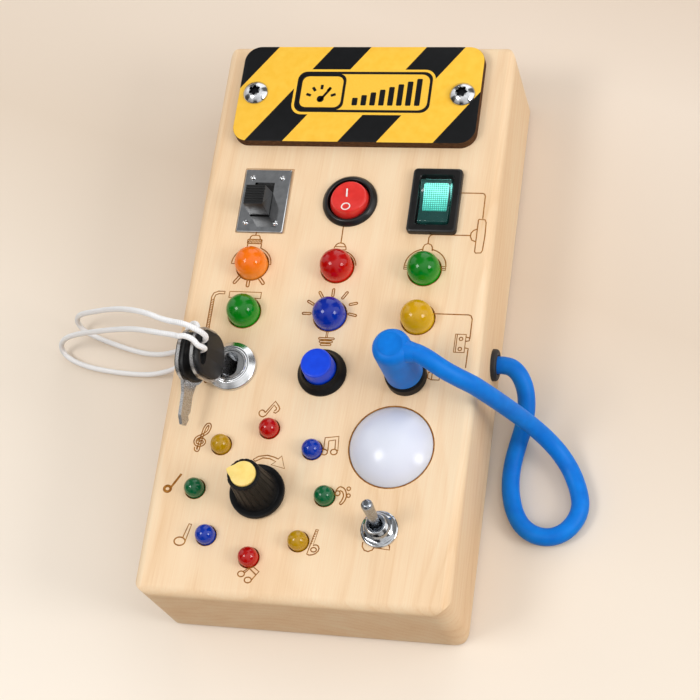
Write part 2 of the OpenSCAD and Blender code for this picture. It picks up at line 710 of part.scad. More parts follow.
module slide_switch_housing() {
    color("#1b1c1e") difference() {
        translate([slide_x - slide_body_w / 2, slide_y - slide_body_h / 2, slide_body_low]) cube([slide_body_w, slide_body_h, slide_low - slide_body_low]);
        translate([window_x - slide_foot_w / 2 - 0.2, window_y - window_l / 2 - 0.8, slide_low - 2.4])
            cube([slide_foot_w + 0.4, window_l + 1.6, 4]);
        for (sx = [-1, 1], sy = [-1, 1]) translate([slide_x + sx * 4.6, slide_y + sy * 7.5, slide_low - 2.4]) cylinder(r = 0.5 + run, h = 4);
    }
    color("#c9ccd0") for (i = [-1:1]) translate([slide_x - 0.4, slide_y + i * slide_lug_pitch - 1.2, slide_lug_low]) cube([0.8, 2.4, slide_body_low - slide_lug_low + 0.2]);
}

module slide_switch_knob() {
    z0 = slide_low - 0.25;
    h = slide_top + slide_knob_h - z0;
    color("#17181a") translate([window_x, knob_rest_y, z0]) {
        translate([-slide_foot_w / 2, -slide_foot_l / 2, -1.8]) cube([slide_foot_w, slide_foot_l, 1.8]);
        difference() {
            translate([slide_knob_w / 2, 0, 0]) rotate([0, -90, 0]) linear_extrude(slide_knob_w)
                polygon([[-0.5, -slide_knob_l / 2], [h, -slide_knob_l / 2], [h, slide_knob_l / 2 - 1.5],
                         [1.6, slide_knob_l / 2], [-0.5, slide_knob_l / 2]]);
            for (i = [0:6]) translate([-4, -slide_knob_l / 2 + 0.65 + 0.82 * i, h - 0.35]) cube([8, 0.4, 1]);
        }
    }
}

// ---- round rocker switch ----

module round_switch_housing() {
    color("#1a1b1d") difference() {
        translate([round_x, round_y, 0]) {
            translate([0, 0, round_body_low]) cylinder(d = round_body_d, h = face - round_body_low + 0.5);
            translate([0, 0, face]) cylinder(d = round_bezel_d, h = round_bezel_h - 0.6);
            translate([0, 0, face + round_bezel_h - 0.6]) cylinder(d1 = round_bezel_d, d2 = round_bezel_d - 1.2, h = 0.6);
        }
        translate([round_x, round_y, round_pivot - round_rocker_d / 2 - 1]) cylinder(d = round_rocker_d + 0.6, h = 20);
        translate([round_x - 7, round_y, round_pivot]) rotate([0, 90, 0]) cylinder(r = pin_r + run, h = 14);
    }
    color("#c9ccd0") for (s = [-1, 1]) translate([round_x - 2.4, round_y + s * 3.5 - 0.4, round_lug_low]) cube([4.8, 0.8, round_body_low - round_lug_low + 0.2]);
}

module rocker_profile(half, rise, dish) {
    polygon([[-half, -rocker_foot], [half, -rocker_foot], [half, rise], [0, dish], [-half, rise]]);
}

module round_switch_rocker() {
    color("#d8242b") translate([round_x, round_y, round_pivot]) rotate([-round_tilt, 0, 0]) {
        intersection() {
            sphere(d = round_rocker_d);
            translate([-8, 0, 0]) rotate([90, 0, 90]) linear_extrude(16) rocker_profile(8, 3.4, 3);
        }
        translate([-round_rocker_d / 2 - 0.6, 0, 0]) rotate([0, 90, 0]) cylinder(r = pin_r, h = round_rocker_d + 1.2);
    }
}

// ---- square rocker switch ----

module square_switch_housing() {
    hole_w = square_rocker_w + 0.6;
    hole_l = 2 * square_rocker_r + 0.6;
    color("#1c1d1f") difference() {
        translate([square_x, square_y, 0]) {
            translate([-square_body_w / 2, -square_body_h / 2, square_body_low]) cube([square_body_w, square_body_h, face - square_body_low + 0.5]);
            translate([0, 0, face]) linear_extrude(square_frame_t) round_rect(square_frame_w, square_frame_h, 1.2);
        }
        translate([square_x - hole_w / 2, square_y - hole_l / 2, square_pivot - square_rocker_r - 0.6]) cube([hole_w, hole_l, 20]);
        translate([square_x - 6, square_y, square_pivot]) rotate([0, 90, 0]) cylinder(r = pin_r + run, h = 12);
    }
    color("#c9ccd0") for (i = [-1:1]) translate([square_x - 2.4, square_y + i * square_lug_pitch - 0.4, square_lug_low]) cube([4.8, 0.8, square_body_low - square_lug_low + 0.2]);
}

module square_switch_rocker() {
    color("#0e8a76") translate([square_x, square_y, square_pivot]) rotate([square_tilt, 0, 0]) {
        difference() {
            intersection() {
                rotate([0, 90, 0]) cylinder(r = square_rocker_r, h = square_rocker_w, center = true);
                translate([-8, 0, 0]) rotate([90, 0, 90]) linear_extrude(16) rocker_profile(9, 3.2, 2);
            }
            translate([-3.5, -5.6, -5]) cube([7, 11.2, 5.9]);
        }
        for (s = [-1, 1]) translate([s > 0 ? square_rocker_w / 2 - 0.2 : -square_rocker_w / 2 - 1, 0, 0]) rotate([0, 90, 0]) cylinder(r = pin_r, h = 1.2);
    }
}

module square_switch_insert() {
    color("#5fe6cf") translate([square_x, square_y, square_pivot]) rotate([square_tilt, 0, 0])
        translate([-3.3, -5.4, -1.2]) cube([6.6, 10.8, 2.1]);
}

// ---- large lamps ----

module lamp_orange() { color("#f08a1e") dome_led(lamp_spots[0][0], lamp_spots[0][1], lamp_d, lamp_rise, lamp_pcb_z, 1.27); }
module lamp_red() { color("#d3202a") dome_led(lamp_spots[1][0], lamp_spots[1][1], lamp_d, lamp_rise, lamp_pcb_z, 1.27); }
module lamp_green_right() { color("#2aa84a") dome_led(lamp_spots[2][0], lamp_spots[2][1], lamp_d, lamp_rise, lamp_pcb_z, 1.27); }
module lamp_green_left() { color("#2aa84a") dome_led(lamp_spots[3][0], lamp_spots[3][1], lamp_d, lamp_rise, lamp_pcb_z, 1.27); }
module lamp_blue() { color("#2a56c8") dome_led(lamp_spots[4][0], lamp_spots[4][1], lamp_d, lamp_rise, lamp_pcb_z, 1.27); }
module lamp_yellow() { color("#e8b41c") dome_led(lamp_spots[5][0], lamp_spots[5][1], lamp_d, lamp_rise, lamp_pcb_z, 1.27); }

module lamp_board() {
    color("#2c6a3c") difference() {
        translate([-lamp_pitch_x - 6, min(lamp_row_2, batt_y - 8) - 5, lamp_pcb_z])
            cube([2 * lamp_pitch_x + 12, lamp_row_1 - min(lamp_row_2, batt_y - 8) + 10, pcb_t]);
        for (p = lamp_spots, s = [-1, 1]) translate([p[0] + s * 1.27, p[1], lamp_pcb_z - 1]) cylinder(d = lead_hole, h = pcb_t + 2, $fn = 24);
    }
}

// ---- key lock ----

module lock_barrel() {
    r = lock_barrel_d / 2;
    b = lock_core_d / 2 + run;
    color("#c9ccd1") translate([lock_x, lock_y, 0]) rotate_extrude()
        polygon([[b, lock_end], [r, lock_end], [r, face], [lock_bezel_d / 2, face], [lock_bezel_d / 2, face + 0.5],
                 [r - 0.1, lock_top], [r - 0.6, lock_top], [r - 0.8, lock_top - 0.5], [b, lock_top - 0.7]]);
}

module lock_nut() {
    color("#b4b7bb") translate([lock_x, lock_y, inner - 2.5]) hex_nut(15, 2.5, lock_barrel_d / 2 + run);
}

module lock_core() {
    color("#b9bcc1") translate([lock_x, lock_y, 0]) difference() {
        union() {
            translate([0, 0, lock_end - 0.5]) cylinder(d = lock_core_d, h = core_top - lock_end + 0.5);
            translate([0, 0, lock_end - 1.8]) cylinder(d = lock_core_d + 2, h = 1.5);
        }
        translate([0, 0, keyway_z]) linear_extrude(20) obround(keyway_w, keyway_l);
    }
}

// head outline of a key, in its own plane
module head_outline(inset) {
    translate([0, key_head + key_head_l / 2]) round_rect(key_head_w - 2 * inset, key_head_l - 2 * inset, 6 - inset);
}

module key_steel() {
    rotate([90, 0, 90]) translate([0, 0, -key_t / 2]) linear_extrude(key_t) difference() {
        union() {
            head_outline(0);
            polygon([[-1, key_tip], [1, key_tip], [key_blade_w / 2 - 0.4, key_tip + 1.8], [key_blade_w / 2 - 0.9, key_tip + 3],
                     [key_blade_w / 2, key_tip + 4.2], [key_blade_w / 2, 4], [3.6, key_head + 0.8],
                     [-3.6, key_head + 0.8], [-key_blade_w / 2, 4], [-key_blade_w / 2, key_tip + 2.4]]);
        }
        translate([0, slot_at]) square([key_slot_l, key_slot_w], center = true);
        for (s = [-1, 1]) translate([s * 4, key_head + 5]) circle(0.8 + run);
    }
}

module key_plastic() {
    difference() {
        union() {
            for (s = [-1, 1]) translate([s * (key_t + key_grip_t) / 2, 0, 0]) rotate([90, 0, 90])
                translate([0, 0, -key_grip_t / 2]) linear_extrude(key_grip_t) head_outline(key_rim);
            for (s = [-1, 1]) translate([0, s * 4, key_head + 5]) rotate([0, 90, 0]) cylinder(r = 0.8, h = key_t + key_grip_t, center = true);
        }
        translate([0, 0, slot_at]) cube([10, key_slot_l, key_slot_w], center = true);
    }
}

module key_blade() { color("#b7aea2") translate(key_at) rotate(key_lean) key_steel(); }
module key_grip() { color("#1e1f21") translate(key_at) rotate(key_lean) key_plastic(); }
module spare_key_blade() { color("#b7aea2") translate(spare_at) rotate(spare_lean) key_steel(); }
module spare_key_grip() { color("#1e1f21") translate(spare_at) rotate(spare_lean) key_plastic(); }

module key_cord_upper() { color("#eceef2") swept(smooth(upper_path, 3), cord_d / 2, 8); }
module key_cord_lower() { color("#eceef2") swept(smooth(lower_path, 3), cord_d / 2, 8); }
module key_cord_bight() { color("#eceef2") translate(at_lock) swept(smooth(bight_path, 3), cord_d / 2, 8); }

// ---- push button ----

module button_housing() {
    cap_r = button_cap_d / 2;
    color("#1b1c1e") translate([button_x, button_y, 0]) difference() {
        union() {
            translate([0, 0, button_end]) cylinder(d = button_body_d, h = face - button_end + 0.5);
            translate([0, 0, face]) cylinder(d = button_bezel_d, h = 0.7);
            translate([0, 0, face + 0.7]) cylinder(d1 = button_bezel_d, d2 = button_cap_d + 1.2, h = button_bezel_h - 0.7);
            for (s = [-1, 1]) translate([s * 3 - 0.3, -1, button_end - 4]) cube([0.6, 2, 4.2]);
        }
        translate([0, 0, button_floor]) cylinder(r = cap_r + 0.75, h = button_top - button_lip - button_floor);
        translate([0, 0, button_floor]) cylinder(r = cap_r + 0.15, h = 30);
    }
}

module button_nut() {
    color("#26272a") translate([button_x, button_y, inner - 2.5]) hex_nut(14.5, 2.5, button_body_d / 2 + run);
}

module button_cap() {
    color("#1d50d8") translate([button_x, button_y, 0]) difference() {
        union() {
            translate([0, 0, cap_low]) cylinder(d = button_cap_d, h = cap_top - 0.8 - cap_low);
            translate([0, 0, cap_top - 0.8]) cylinder(d1 = button_cap_d, d2 = button_cap_d - 1.2, h = 0.8);
            translate([0, 0, button_top - button_lip - 3.2]) cylinder(d = button_cap_d + 1, h = 3);
        }
        translate([0, 0, cap_low - 1]) cylinder(d = 7, h = button_seat - cap_low + 1);
    }
}

module button_spring() {
    n = 6;
    h = button_seat - button_floor - 0.2;
    color("#c9ccd0") translate([button_x, button_y, button_floor + 0.1])
        for (k = [0:n]) translate([0, 0, 0.35 + k * (h - 0.7) / n]) {
            rotate_extrude() translate([2.9, 0]) circle(0.35, $fn = 16);
            if (k < n) rotate(180 * (k % 2)) translate([2.9, 0, 0]) cylinder(r = 0.3, h = (h - 0.7) / n, $fn = 16);
        }
}

// ---- socket, plug and cable ----

module socket_body() {
    color("#151618") translate([socket_x, socket_y, 0]) difference() {
        union() {
            translate([0, 0, socket_end]) cylinder(d = socket_body_d, h = face - socket_end + 0.5);
            translate([0, 0, face]) cylinder(d = socket_d, h = socket_h - 0.6);
            translate([0, 0, face + socket_h - 0.6]) cylinder(d1 = socket_d, d2 = socket_d - 1.2, h = 0.6);
        }
        translate([0, 0, socket_end + 2]) cylinder(r = tip_d / 2 + run, h = 30);
    }
}

module socket_nut() {
    color("#c0c3c7") translate([socket_x, socket_y, inner - 2]) hex_nut(11, 2, socket_body_d / 2 + run);
}

module plug_body() {
    bend = 2.6;
    color("#1686e0") translate([socket_x, socket_y, 0]) difference() {
        union() {
            translate([0, 0, plug_low]) cylinder(d = plug_d, h = plug_h - bend);
            translate([0, 0, plug_top - bend]) rotate_extrude() union() {
                square([plug_d / 2 - bend, bend]);
                intersection() { translate([plug_d / 2 - bend, 0]) circle(bend); square([plug_d / 2, bend]); }
            }
            translate([0, 0, cable_z]) rotate([0, 90, -plug_turn]) cylinder(d = cable_d + 1.2, h = plug_d / 2 + 1.2);
        }
        translate([0, 0, plug_low - 1]) cylinder(r = tip_d / 2 + 0.03, h = 5);
        translate([0, 0, cable_z]) rotate([0, 90, -plug_turn]) translate([0, 0, plug_d / 2 - 0.5]) cylinder(d = cable_d + 0.3, h = 20);
    }
}

module plug_tip() {
    color("#d8b65a") translate([socket_x, socket_y, 0]) {
        translate([0, 0, plug_low - tip_l + 1.5]) cylinder(d = tip_d, h = tip_l - 1.5 + 3.8);
        translate([0, 0, plug_low - tip_l]) cylinder(d1 = 1.6, d2 = tip_d, h = 1.5);
    }
}

module plug_cable() { color("#1b86dc") swept(smooth(cable_path, 2), cable_d / 2, 12); }

module cable_grommet() {
    x = board_w / 2;
    color("#141517") translate([x, grommet_y, grommet_z]) rotate([0, 90, 0]) difference() {
        union() {
            cylinder(d = grommet_d, h = 1.2);
            translate([0, 0, 1.2]) cylinder(d1 = grommet_d, d2 = grommet_d - 0.8, h = 0.4);
            translate([0, 0, -side_wall - 1]) cylinder(d = grommet_d - 2.4, h = side_wall + 1.2);
            translate([0, 0, -side_wall - 1.8]) cylinder(d = grommet_d - 0.6, h = 1.8);
        }
        translate([0, 0, 0.6]) cylinder(d = cable_d + 0.6, h = 5);
    }
}

// ---- dome lamp ----

module dome_lamp() {
    r = dome_d / 2;
    big = (r * r + dome_h * dome_h) / (2 * dome_h);
    color("#eef1f7") translate([dome_x, dome_y, 0]) difference() {
        union() {
            intersection() {
                translate([0, 0, face + dome_h - big]) sphere(r = big);
                translate([0, 0, face - 1]) cylinder(r = r, h = dome_h + 2);
            }
            translate([0, 0, inner - 1.2]) cylinder(r = r, h = face_wall + 1.2);
            translate([0, 0, inner - 1.2]) cylinder(r = r + 1.4, h = 1.2);
        }
        intersection() {
            translate([0, 0, face + dome_h - big]) sphere(r = big - 1.2);
            translate([0, 0, face - 2]) cylinder(r = r - 1.2, h = dome_h + 2);
        }
        translate([0, 0, inner - 2]) cylinder(r = r - 1.2, h = face_wall + 1);
    }
}

module dome_lamp_board() {
    color("#e9ebe6") translate([dome_x, dome_y, 0]) {
        translate([0, 0, inner - 1.2 - pcb_t]) cylinder(r = min(dome_d / 2 + 1.4, pocket_hw - dome_x - 0.6), h = pcb_t);
        for (a = [0:90:270]) rotate(a) translate([4.5, 0, inner - 1.3]) cylinder(d = 3.4, h = 1.6);
    }
}

// ---- toggle switch ----

module toggle_housing() {
    r = toggle_bush_d / 2;
    color("#b8bbbf") translate([toggle_x, toggle_y, 0]) difference() {
        union() {
            translate([-toggle_body_w / 2, -toggle_body_h / 2, inner - toggle_body_t]) cube([toggle_body_w, toggle_body_h, toggle_body_t]);
            translate([0, 0, inner - 0.5]) cylinder(r = r, h = toggle_bush_top - inner + 0.5);
            for (i = [-1:1]) translate([-0.4, i * toggle_body_h * 0.356 - 0.8, inner - toggle_body_t - toggle_lug]) cube([0.8, 1.6, toggle_lug + 0.2]);
        }
        translate([0, 0, toggle_pivot - 2.4]) cylinder(r = 1.9, h = 4);
        translate([0, 0, toggle_pivot + 0.6]) cylinder(r1 = 1.9, r2 = 2.5, h = toggle_bush_top - toggle_pivot - 0.6 + 0.01);
        translate([-r - 1, 0, toggle_pivot]) rotate([0, 90, 0]) cylinder(r = 0.5 + run, h = 2 * r + 2);
    }
}

module toggle_nut() {
    r = toggle_bush_d / 2 + run;
    color("#cfd2d6") translate([toggle_x, toggle_y, face]) difference() {
        union() {
            cylinder(d = toggle_washer_d, h = toggle_washer_t);
            translate([0, 0, toggle_washer_t]) cylinder(d = 8 / cos(30), h = toggle_nut_h, $fn = 6);
        }
        translate([0, 0, -1]) cylinder(r = r, h = 8);
    }
}

module toggle_lever() {
    color("#d2d5d9") translate([toggle_x, toggle_y, toggle_pivot]) rotate([-toggle_tilt, 0, 0]) {
        sphere(r = 1.75);
        cylinder(d1 = 2.2, d2 = toggle_tip_d, h = toggle_lever_l - toggle_tip_d / 2);
        translate([0, 0, toggle_lever_l - toggle_tip_d / 2]) sphere(d = toggle_tip_d);
        rotate([0, 90, 0]) cylinder(r = 0.5, h = 5.6, center = true);
    }
}

// ---- rotary switch and knob ----

module rotary_housing() {
    color("#3a3d40") translate([dial_x, dial_y, 0]) difference() {
        union() {
            translate([0, 0, dial_pcb_z + pcb_t]) cylinder(d = 16, h = inner - dial_pcb_z - pcb_t);
            translate([0, 0, inner - 0.5]) cylinder(d = dial_bush_d, h = dial_bush_top - inner + 0.5);
        }
        translate([0, 0, dial_pcb_z + pcb_t + 1]) cylinder(r = shaft_d / 2 + run, h = 30);
        translate([0, 0, dial_pcb_z + pcb_t + 1]) cylinder(r = shaft_d / 2 + 1.5, h = 2.4);
    }
}

module rotary_nut() {
    color("#c0c3c7") translate([dial_x, dial_y, face]) hex_nut(10, dial_nut_h, dial_bush_d / 2 + run);
}

module rotary_shaft() {
    color("#c9ccd0") translate([dial_x, dial_y, 0]) {
        translate([0, 0, dial_pcb_z + pcb_t + 1.3]) cylinder(d = shaft_d, h = knob_top - 4 - dial_pcb_z - pcb_t - 1.3);
        translate([0, 0, dial_pcb_z + pcb_t + 1.3]) cylinder(r = shaft_d / 2 + 1.2, h = 1.8);
    }
}

module knob_body() {
    r = knob_skirt_d / 2;
    g = knob_grip_d / 2;
    color("#1b1c1e") translate([dial_x, dial_y, knob_low]) difference() {
        union() {
            cylinder(r = r, h = 1.6);
            translate([0, 0, 1.6]) cylinder(r1 = r, r2 = g + 1, h = 1);
            difference() {
                cylinder(r1 = g + 1.2, r2 = g, h = knob_h - 0.8);
                for (i = [0:knob_ribs - 1]) rotate(360 * i / knob_ribs) translate([g + 0.95, 0, 3.2])
                    rotate([0, -4, 0]) cylinder(r = 0.5, h = knob_h, $fn = 12);
            }
        }
        translate([0, 0, -1]) cylinder(r = 6.1, h = 2.7);
        translate([0, 0, -1]) cylinder(r = dial_bush_d / 2 + 0.4, h = 4.9);
        translate([0, 0, -1]) cylinder(r = shaft_d / 2 + 0.03, h = knob_h - 3 + 0.1);
        translate([0, 0, knob_h - 1.8]) cylinder(r = g - 0.9, h = 5);
    }
}

module knob_cap() {
    g = knob_grip_d / 2;
    color("#f2c230") translate([dial_x, dial_y, knob_low + knob_h - 1.8]) {
        cylinder(r = g - 0.95, h = 1.8);
        rotate(pointer_at) translate([0.6, -0.5, 1.7]) cube([g - 1.9, 1, 0.5]);
    }
}

// ---- ring of small lamps ----

module mini_led(i) { dome_led(ring_spot(i)[0], ring_spot(i)[1], mini_d, mini_rise, dial_pcb_z, 1.27); }
module ring_lamps_red() { color("#d3202a") for (i = [2, 6]) mini_led(i); }
module ring_lamps_blue() { color("#2a56c8") for (i = [1, 5]) mini_led(i); }
module ring_lamps_green() { color("#2aa84a") for (i = [0, 4]) mini_led(i); }
module ring_lamps_yellow() { color("#e8b41c") for (i = [3, 7]) mini_led(i); }

module dial_board() {
    color("#2c6a3c") difference() {
        translate([dial_x + 0.3, dial_y + 0.1, dial_pcb_z]) cylinder(r = min(ring_r + 3.6, dial_y - pocket_bottom - 0.5), h = pcb_t);
        for (i = [0:7], s = [-1, 1]) translate([ring_spot(i)[0] + s * 1.27, ring_spot(i)[1], dial_pcb_z - 1])
            cylinder(d = lead_hole, h = pcb_t + 2, $fn = 24);
    }
}

// ---- drawn parts ----

wooden_body();
back_cover();
cover_screws();
battery_box();
battery_door();
battery_contacts();
aa_cells();
name_plate();
name_plate_screws();
slide_switch_plate();
slide_switch_rivets();
slide_switch_housing();
slide_switch_knob();
round_switch_housing();
round_switch_rocker();
square_switch_housing();
square_switch_rocker();
square_switch_insert();
lamp_orange();
lamp_red();
lamp_green_right();
lamp_green_left();
lamp_blue();
lamp_yellow();
lamp_board();
lock_barrel();
lock_nut();
lock_core();
key_blade();
key_grip();
spare_key_blade();
spare_key_grip();
key_cord_upper();
key_cord_lower();
key_cord_bight();
button_housing();
button_nut();
button_cap();
button_spring();
socket_body();
socket_nut();
plug_body();
plug_tip();
plug_cable();
cable_grommet();
dome_lamp();
dome_lamp_board();
toggle_housing();
toggle_nut();
toggle_lever();
rotary_housing();
rotary_nut();
rotary_shaft();
knob_body();
knob_cap();
ring_lamps_red();
ring_lamps_blue();
ring_lamps_green();
ring_lamps_yellow();
dial_board();
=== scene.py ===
import math

import bmesh
import bpy
from mathutils import Euler, Matrix, Vector


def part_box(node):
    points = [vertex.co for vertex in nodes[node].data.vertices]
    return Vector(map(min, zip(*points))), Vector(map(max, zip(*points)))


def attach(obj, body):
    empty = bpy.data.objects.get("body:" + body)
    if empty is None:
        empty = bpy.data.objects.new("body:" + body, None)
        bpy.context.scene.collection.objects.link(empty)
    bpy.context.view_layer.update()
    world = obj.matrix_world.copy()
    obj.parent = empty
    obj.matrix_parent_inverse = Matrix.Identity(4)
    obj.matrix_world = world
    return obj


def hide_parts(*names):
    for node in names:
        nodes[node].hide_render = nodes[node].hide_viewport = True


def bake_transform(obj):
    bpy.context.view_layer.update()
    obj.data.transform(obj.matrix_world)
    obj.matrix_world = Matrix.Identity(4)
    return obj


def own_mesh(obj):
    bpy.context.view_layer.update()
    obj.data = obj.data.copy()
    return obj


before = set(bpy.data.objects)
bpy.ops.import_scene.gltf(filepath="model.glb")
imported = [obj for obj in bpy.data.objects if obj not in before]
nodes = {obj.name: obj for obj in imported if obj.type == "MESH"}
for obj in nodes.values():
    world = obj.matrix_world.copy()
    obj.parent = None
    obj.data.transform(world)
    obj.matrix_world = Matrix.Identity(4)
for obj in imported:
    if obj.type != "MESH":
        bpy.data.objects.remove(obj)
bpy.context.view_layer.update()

# The camera. A long lens held above the lower right corner of the board, looking down
# on the face; the shift only sets the board a little left of the middle.
camera = bpy.data.objects.new("camera", bpy.data.cameras.new("camera"))
camera.data.lens = 100
camera.data.sensor_width = 36
camera.data.shift_x = -0.0191
camera.location = (0.150297, -0.216681, 0.530003)
camera.rotation_euler = [math.radians(a) for a in (23.534, 12.478, 7.854)]
bpy.context.scene.collection.objects.link(camera)
bpy.context.scene.camera = camera


# The braided cord of the keys. A white cotton braid, 1.6 mm thick: two strands come out of
# the hole in the left side, lie on the table, rise to the lock, and one bight runs through
# both key heads. Drawn in millimetres on the routes that the CAD solids follow.
def linear(code):
    """A colour written as sRGB hex, as the linear values that the shaders take."""
    parts = [int(code[i:i + 2], 16) / 255 for i in (1, 3, 5)]
    return [c / 12.92 if c <= 0.04045 else ((c + 0.055) / 1.055) ** 2.4 for c in parts] + [1]


def add(tree, kind, sockets=(), out=0, stops=(), **settings):
    """Adds a node with its settings and links, and gives one of its outputs or a slice of them."""
    node = tree.nodes.new("ShaderNode" + kind)
    for name, value in settings.items():
        setattr(node, name, value)
    for i, (at, colour) in enumerate(stops):
        stop = node.color_ramp.elements[i] if i < 2 else node.color_ramp.elements.new(at)
        stop.position, stop.color = at, linear(colour) if isinstance(colour, str) else colour
    for key, value in sockets.items() if isinstance(sockets, dict) else enumerate(sockets):
        if isinstance(value, bpy.types.NodeSocket):
            tree.links.new(value, node.inputs[key])
        else:
            node.inputs[key].default_value = value
    return node.outputs[out] if len(node.outputs) else None


def finish_of(name):
    """An empty material, its node tree, and the place on the piece in millimetres."""
    made = bpy.data.materials.new(name)
    made.use_nodes = True
    tree = made.node_tree
    tree.nodes.clear()
    place = add(tree, "TexCoord", out="Object")
    return made, tree, add(tree, "Mapping", {"Vector": place, "Scale": (1000, 1000, 1000)})


def route(points, per=8):
    """A smooth line through a cord's points."""
    points, line = [Vector(p) for p in points], []
    for i in range(len(points) - 1):
        a, b, c, d = (points[max(i - 1, 0)], points[i], points[i + 1], points[min(i + 2, len(points) - 1)])
        for j in range(per):
            t = j / per
            line.append(0.5 * (2 * b + (c - a) * t + (2 * a - 5 * b + 4 * c - d) * t * t
                               + (3 * b - a - 3 * c + d) * t ** 3))
    return line + [points[-1]]


def tube(form, line, radii, sides=16):
    """Adds a closed tube along a line; its UV runs in millimetres along it and from 0 to 1 round it."""
    along = form.loops.layers.uv.get("along") or form.loops.layers.uv.new("along")
    if not hasattr(radii, "__len__"):
        radii = [radii] * len(line)
    ways = [(line[min(i + 1, len(line) - 1)] - line[max(i - 1, 0)]).normalized() for i in range(len(line))]
    across, places, run = ways[0].orthogonal().normalized(), [], 0.0
    for i, (p, way, r) in enumerate(zip(line, ways, radii)):
        across = (across - way * across.dot(way)).normalized()
        turn = Matrix((across, way.cross(across), way)).transposed().to_4x4()
        run += (p - line[i - 1]).length if i else 0
        places.append((Matrix.Translation(p) @ turn @ Matrix.Scale(r, 4), run))
    ring = bmesh.ops.create_circle(form, segments=sides, radius=1, matrix=places[0][0])["verts"]
    spot = {v: (0.0, k / sides) for k, v in enumerate(ring)}
    edges = list({e for v in ring for e in v.link_edges})
    ends = [edges]
    for i in range(1, len(places)):
        old = {v: spot[v] for e in edges for v in e.verts}
        grown = bmesh.ops.extrude_edge_only(form, edges=edges)["geom"]
        new = [g for g in grown if isinstance(g, bmesh.types.BMVert)]
        edges = [g for g in grown if isinstance(g, bmesh.types.BMEdge)]
        faces = [g for g in grown if isinstance(g, bmesh.types.BMFace)]
        for v in new:
            mate = next(e.other_vert(v) for e in v.link_edges if e.other_vert(v) in old)
            spot[v] = (places[i][1], old[mate][1])
        bmesh.ops.transform(form, matrix=places[i][0] @ places[i - 1][0].inverted(), verts=new)
        for f in faces:
            wrap = max(spot[v][1] for v in f.verts) - min(spot[v][1] for v in f.verts) > 0.5
            for loop in f.loops:
                u, v = spot[loop.vert]
                loop[along].uv = (u, v + 1 if wrap and v < 0.5 else v)
    ends.append(edges)
    for rim in ends:
        bmesh.ops.contextual_create(form, geom=rim)
    return form


def piece(name, form, finish, body, *stands_for, slot, sharp=32):
    """A finished piece from a form in millimetres: in metres, faces outwards, smooth between sharp edges."""
    bmesh.ops.remove_doubles(form, verts=form.verts, dist=0.0005)
    bmesh.ops.scale(form, vec=(0.001, 0.001, 0.001), verts=form.verts)
    bmesh.ops.recalc_face_normals(form, faces=form.faces)
    mesh = bpy.data.meshes.new(name)
    form.to_mesh(mesh)
    form.free()
    mesh.shade_smooth()
    mesh.set_sharp_from_angle(angle=math.radians(sharp))
    for one in finish if isinstance(finish, (list, tuple)) else [finish]:
        mesh.materials.append(one)
    made = bpy.data.objects.new(name, mesh)
    bpy.context.scene.collection.objects.link(made)
    if body:
        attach(made, body)
    if stands_for:
        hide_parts(*stands_for)
    return made


# braided cotton: eight strands each way over and under, a soft matt white, with painted cool grey shade in the valleys
# between the strands
braid, t, place = finish_of("braided_cotton")
run_mm, round_it = add(t, "SeparateXYZ", [add(t, "UVMap", uv_map="along")], out=slice(2))
humps, steps = [], []
for lean in (1.5, -1.5):
    # one strand crosses every 0.7 mm of length, four pairs round the cord
    turn = add(t, "Math", [round_it, 4.0], operation="MULTIPLY")
    turn = add(t, "Math", [run_mm, lean, turn], operation="MULTIPLY_ADD")
    part = add(t, "Math", [add(t, "Math", [turn], operation="FRACT"), math.pi], operation="MULTIPLY")
    humps.append(add(t, "Math", [part], operation="SINE"))
    steps.append(add(t, "Math", [turn], operation="FLOOR"))
turn = add(t, "Math", [add(t, "Math", steps, operation="ADD"), 2.0], operation="PINGPONG")
over = add(t, "Math", [turn, 0.5], operation="GREATER_THAN")
height = add(t, "Mix", {0: over, 2: humps[0], 3: humps[1]}, data_type="FLOAT")
fuzz = add(t, "TexNoise", {"Vector": place, "Scale": 2.2, "Detail": 4})
shade = add(t, "Math", [fuzz, 0.25], operation="MULTIPLY")
shade = add(t, "Math", [height, 0.75, shade], operation="MULTIPLY_ADD")
# painted shade: where a strand dips under another its colour goes to a cool grey
tone = add(t, "ValToRGB", [shade], stops=[(0.05, "#dfdfe4"), (0.4, "#f9f9fb"), (0.85, "#ffffff")])
add(t, "OutputMaterial", [add(t, "BsdfPrincipled", {
    "Base Color": tone, "Roughness": 0.82, "Sheen Weight": 0.6, "Sheen Roughness": 0.5,
    "Normal": add(t, "Bump", {"Strength": 0.5, "Distance": 0.00012, "Height": shade})})])

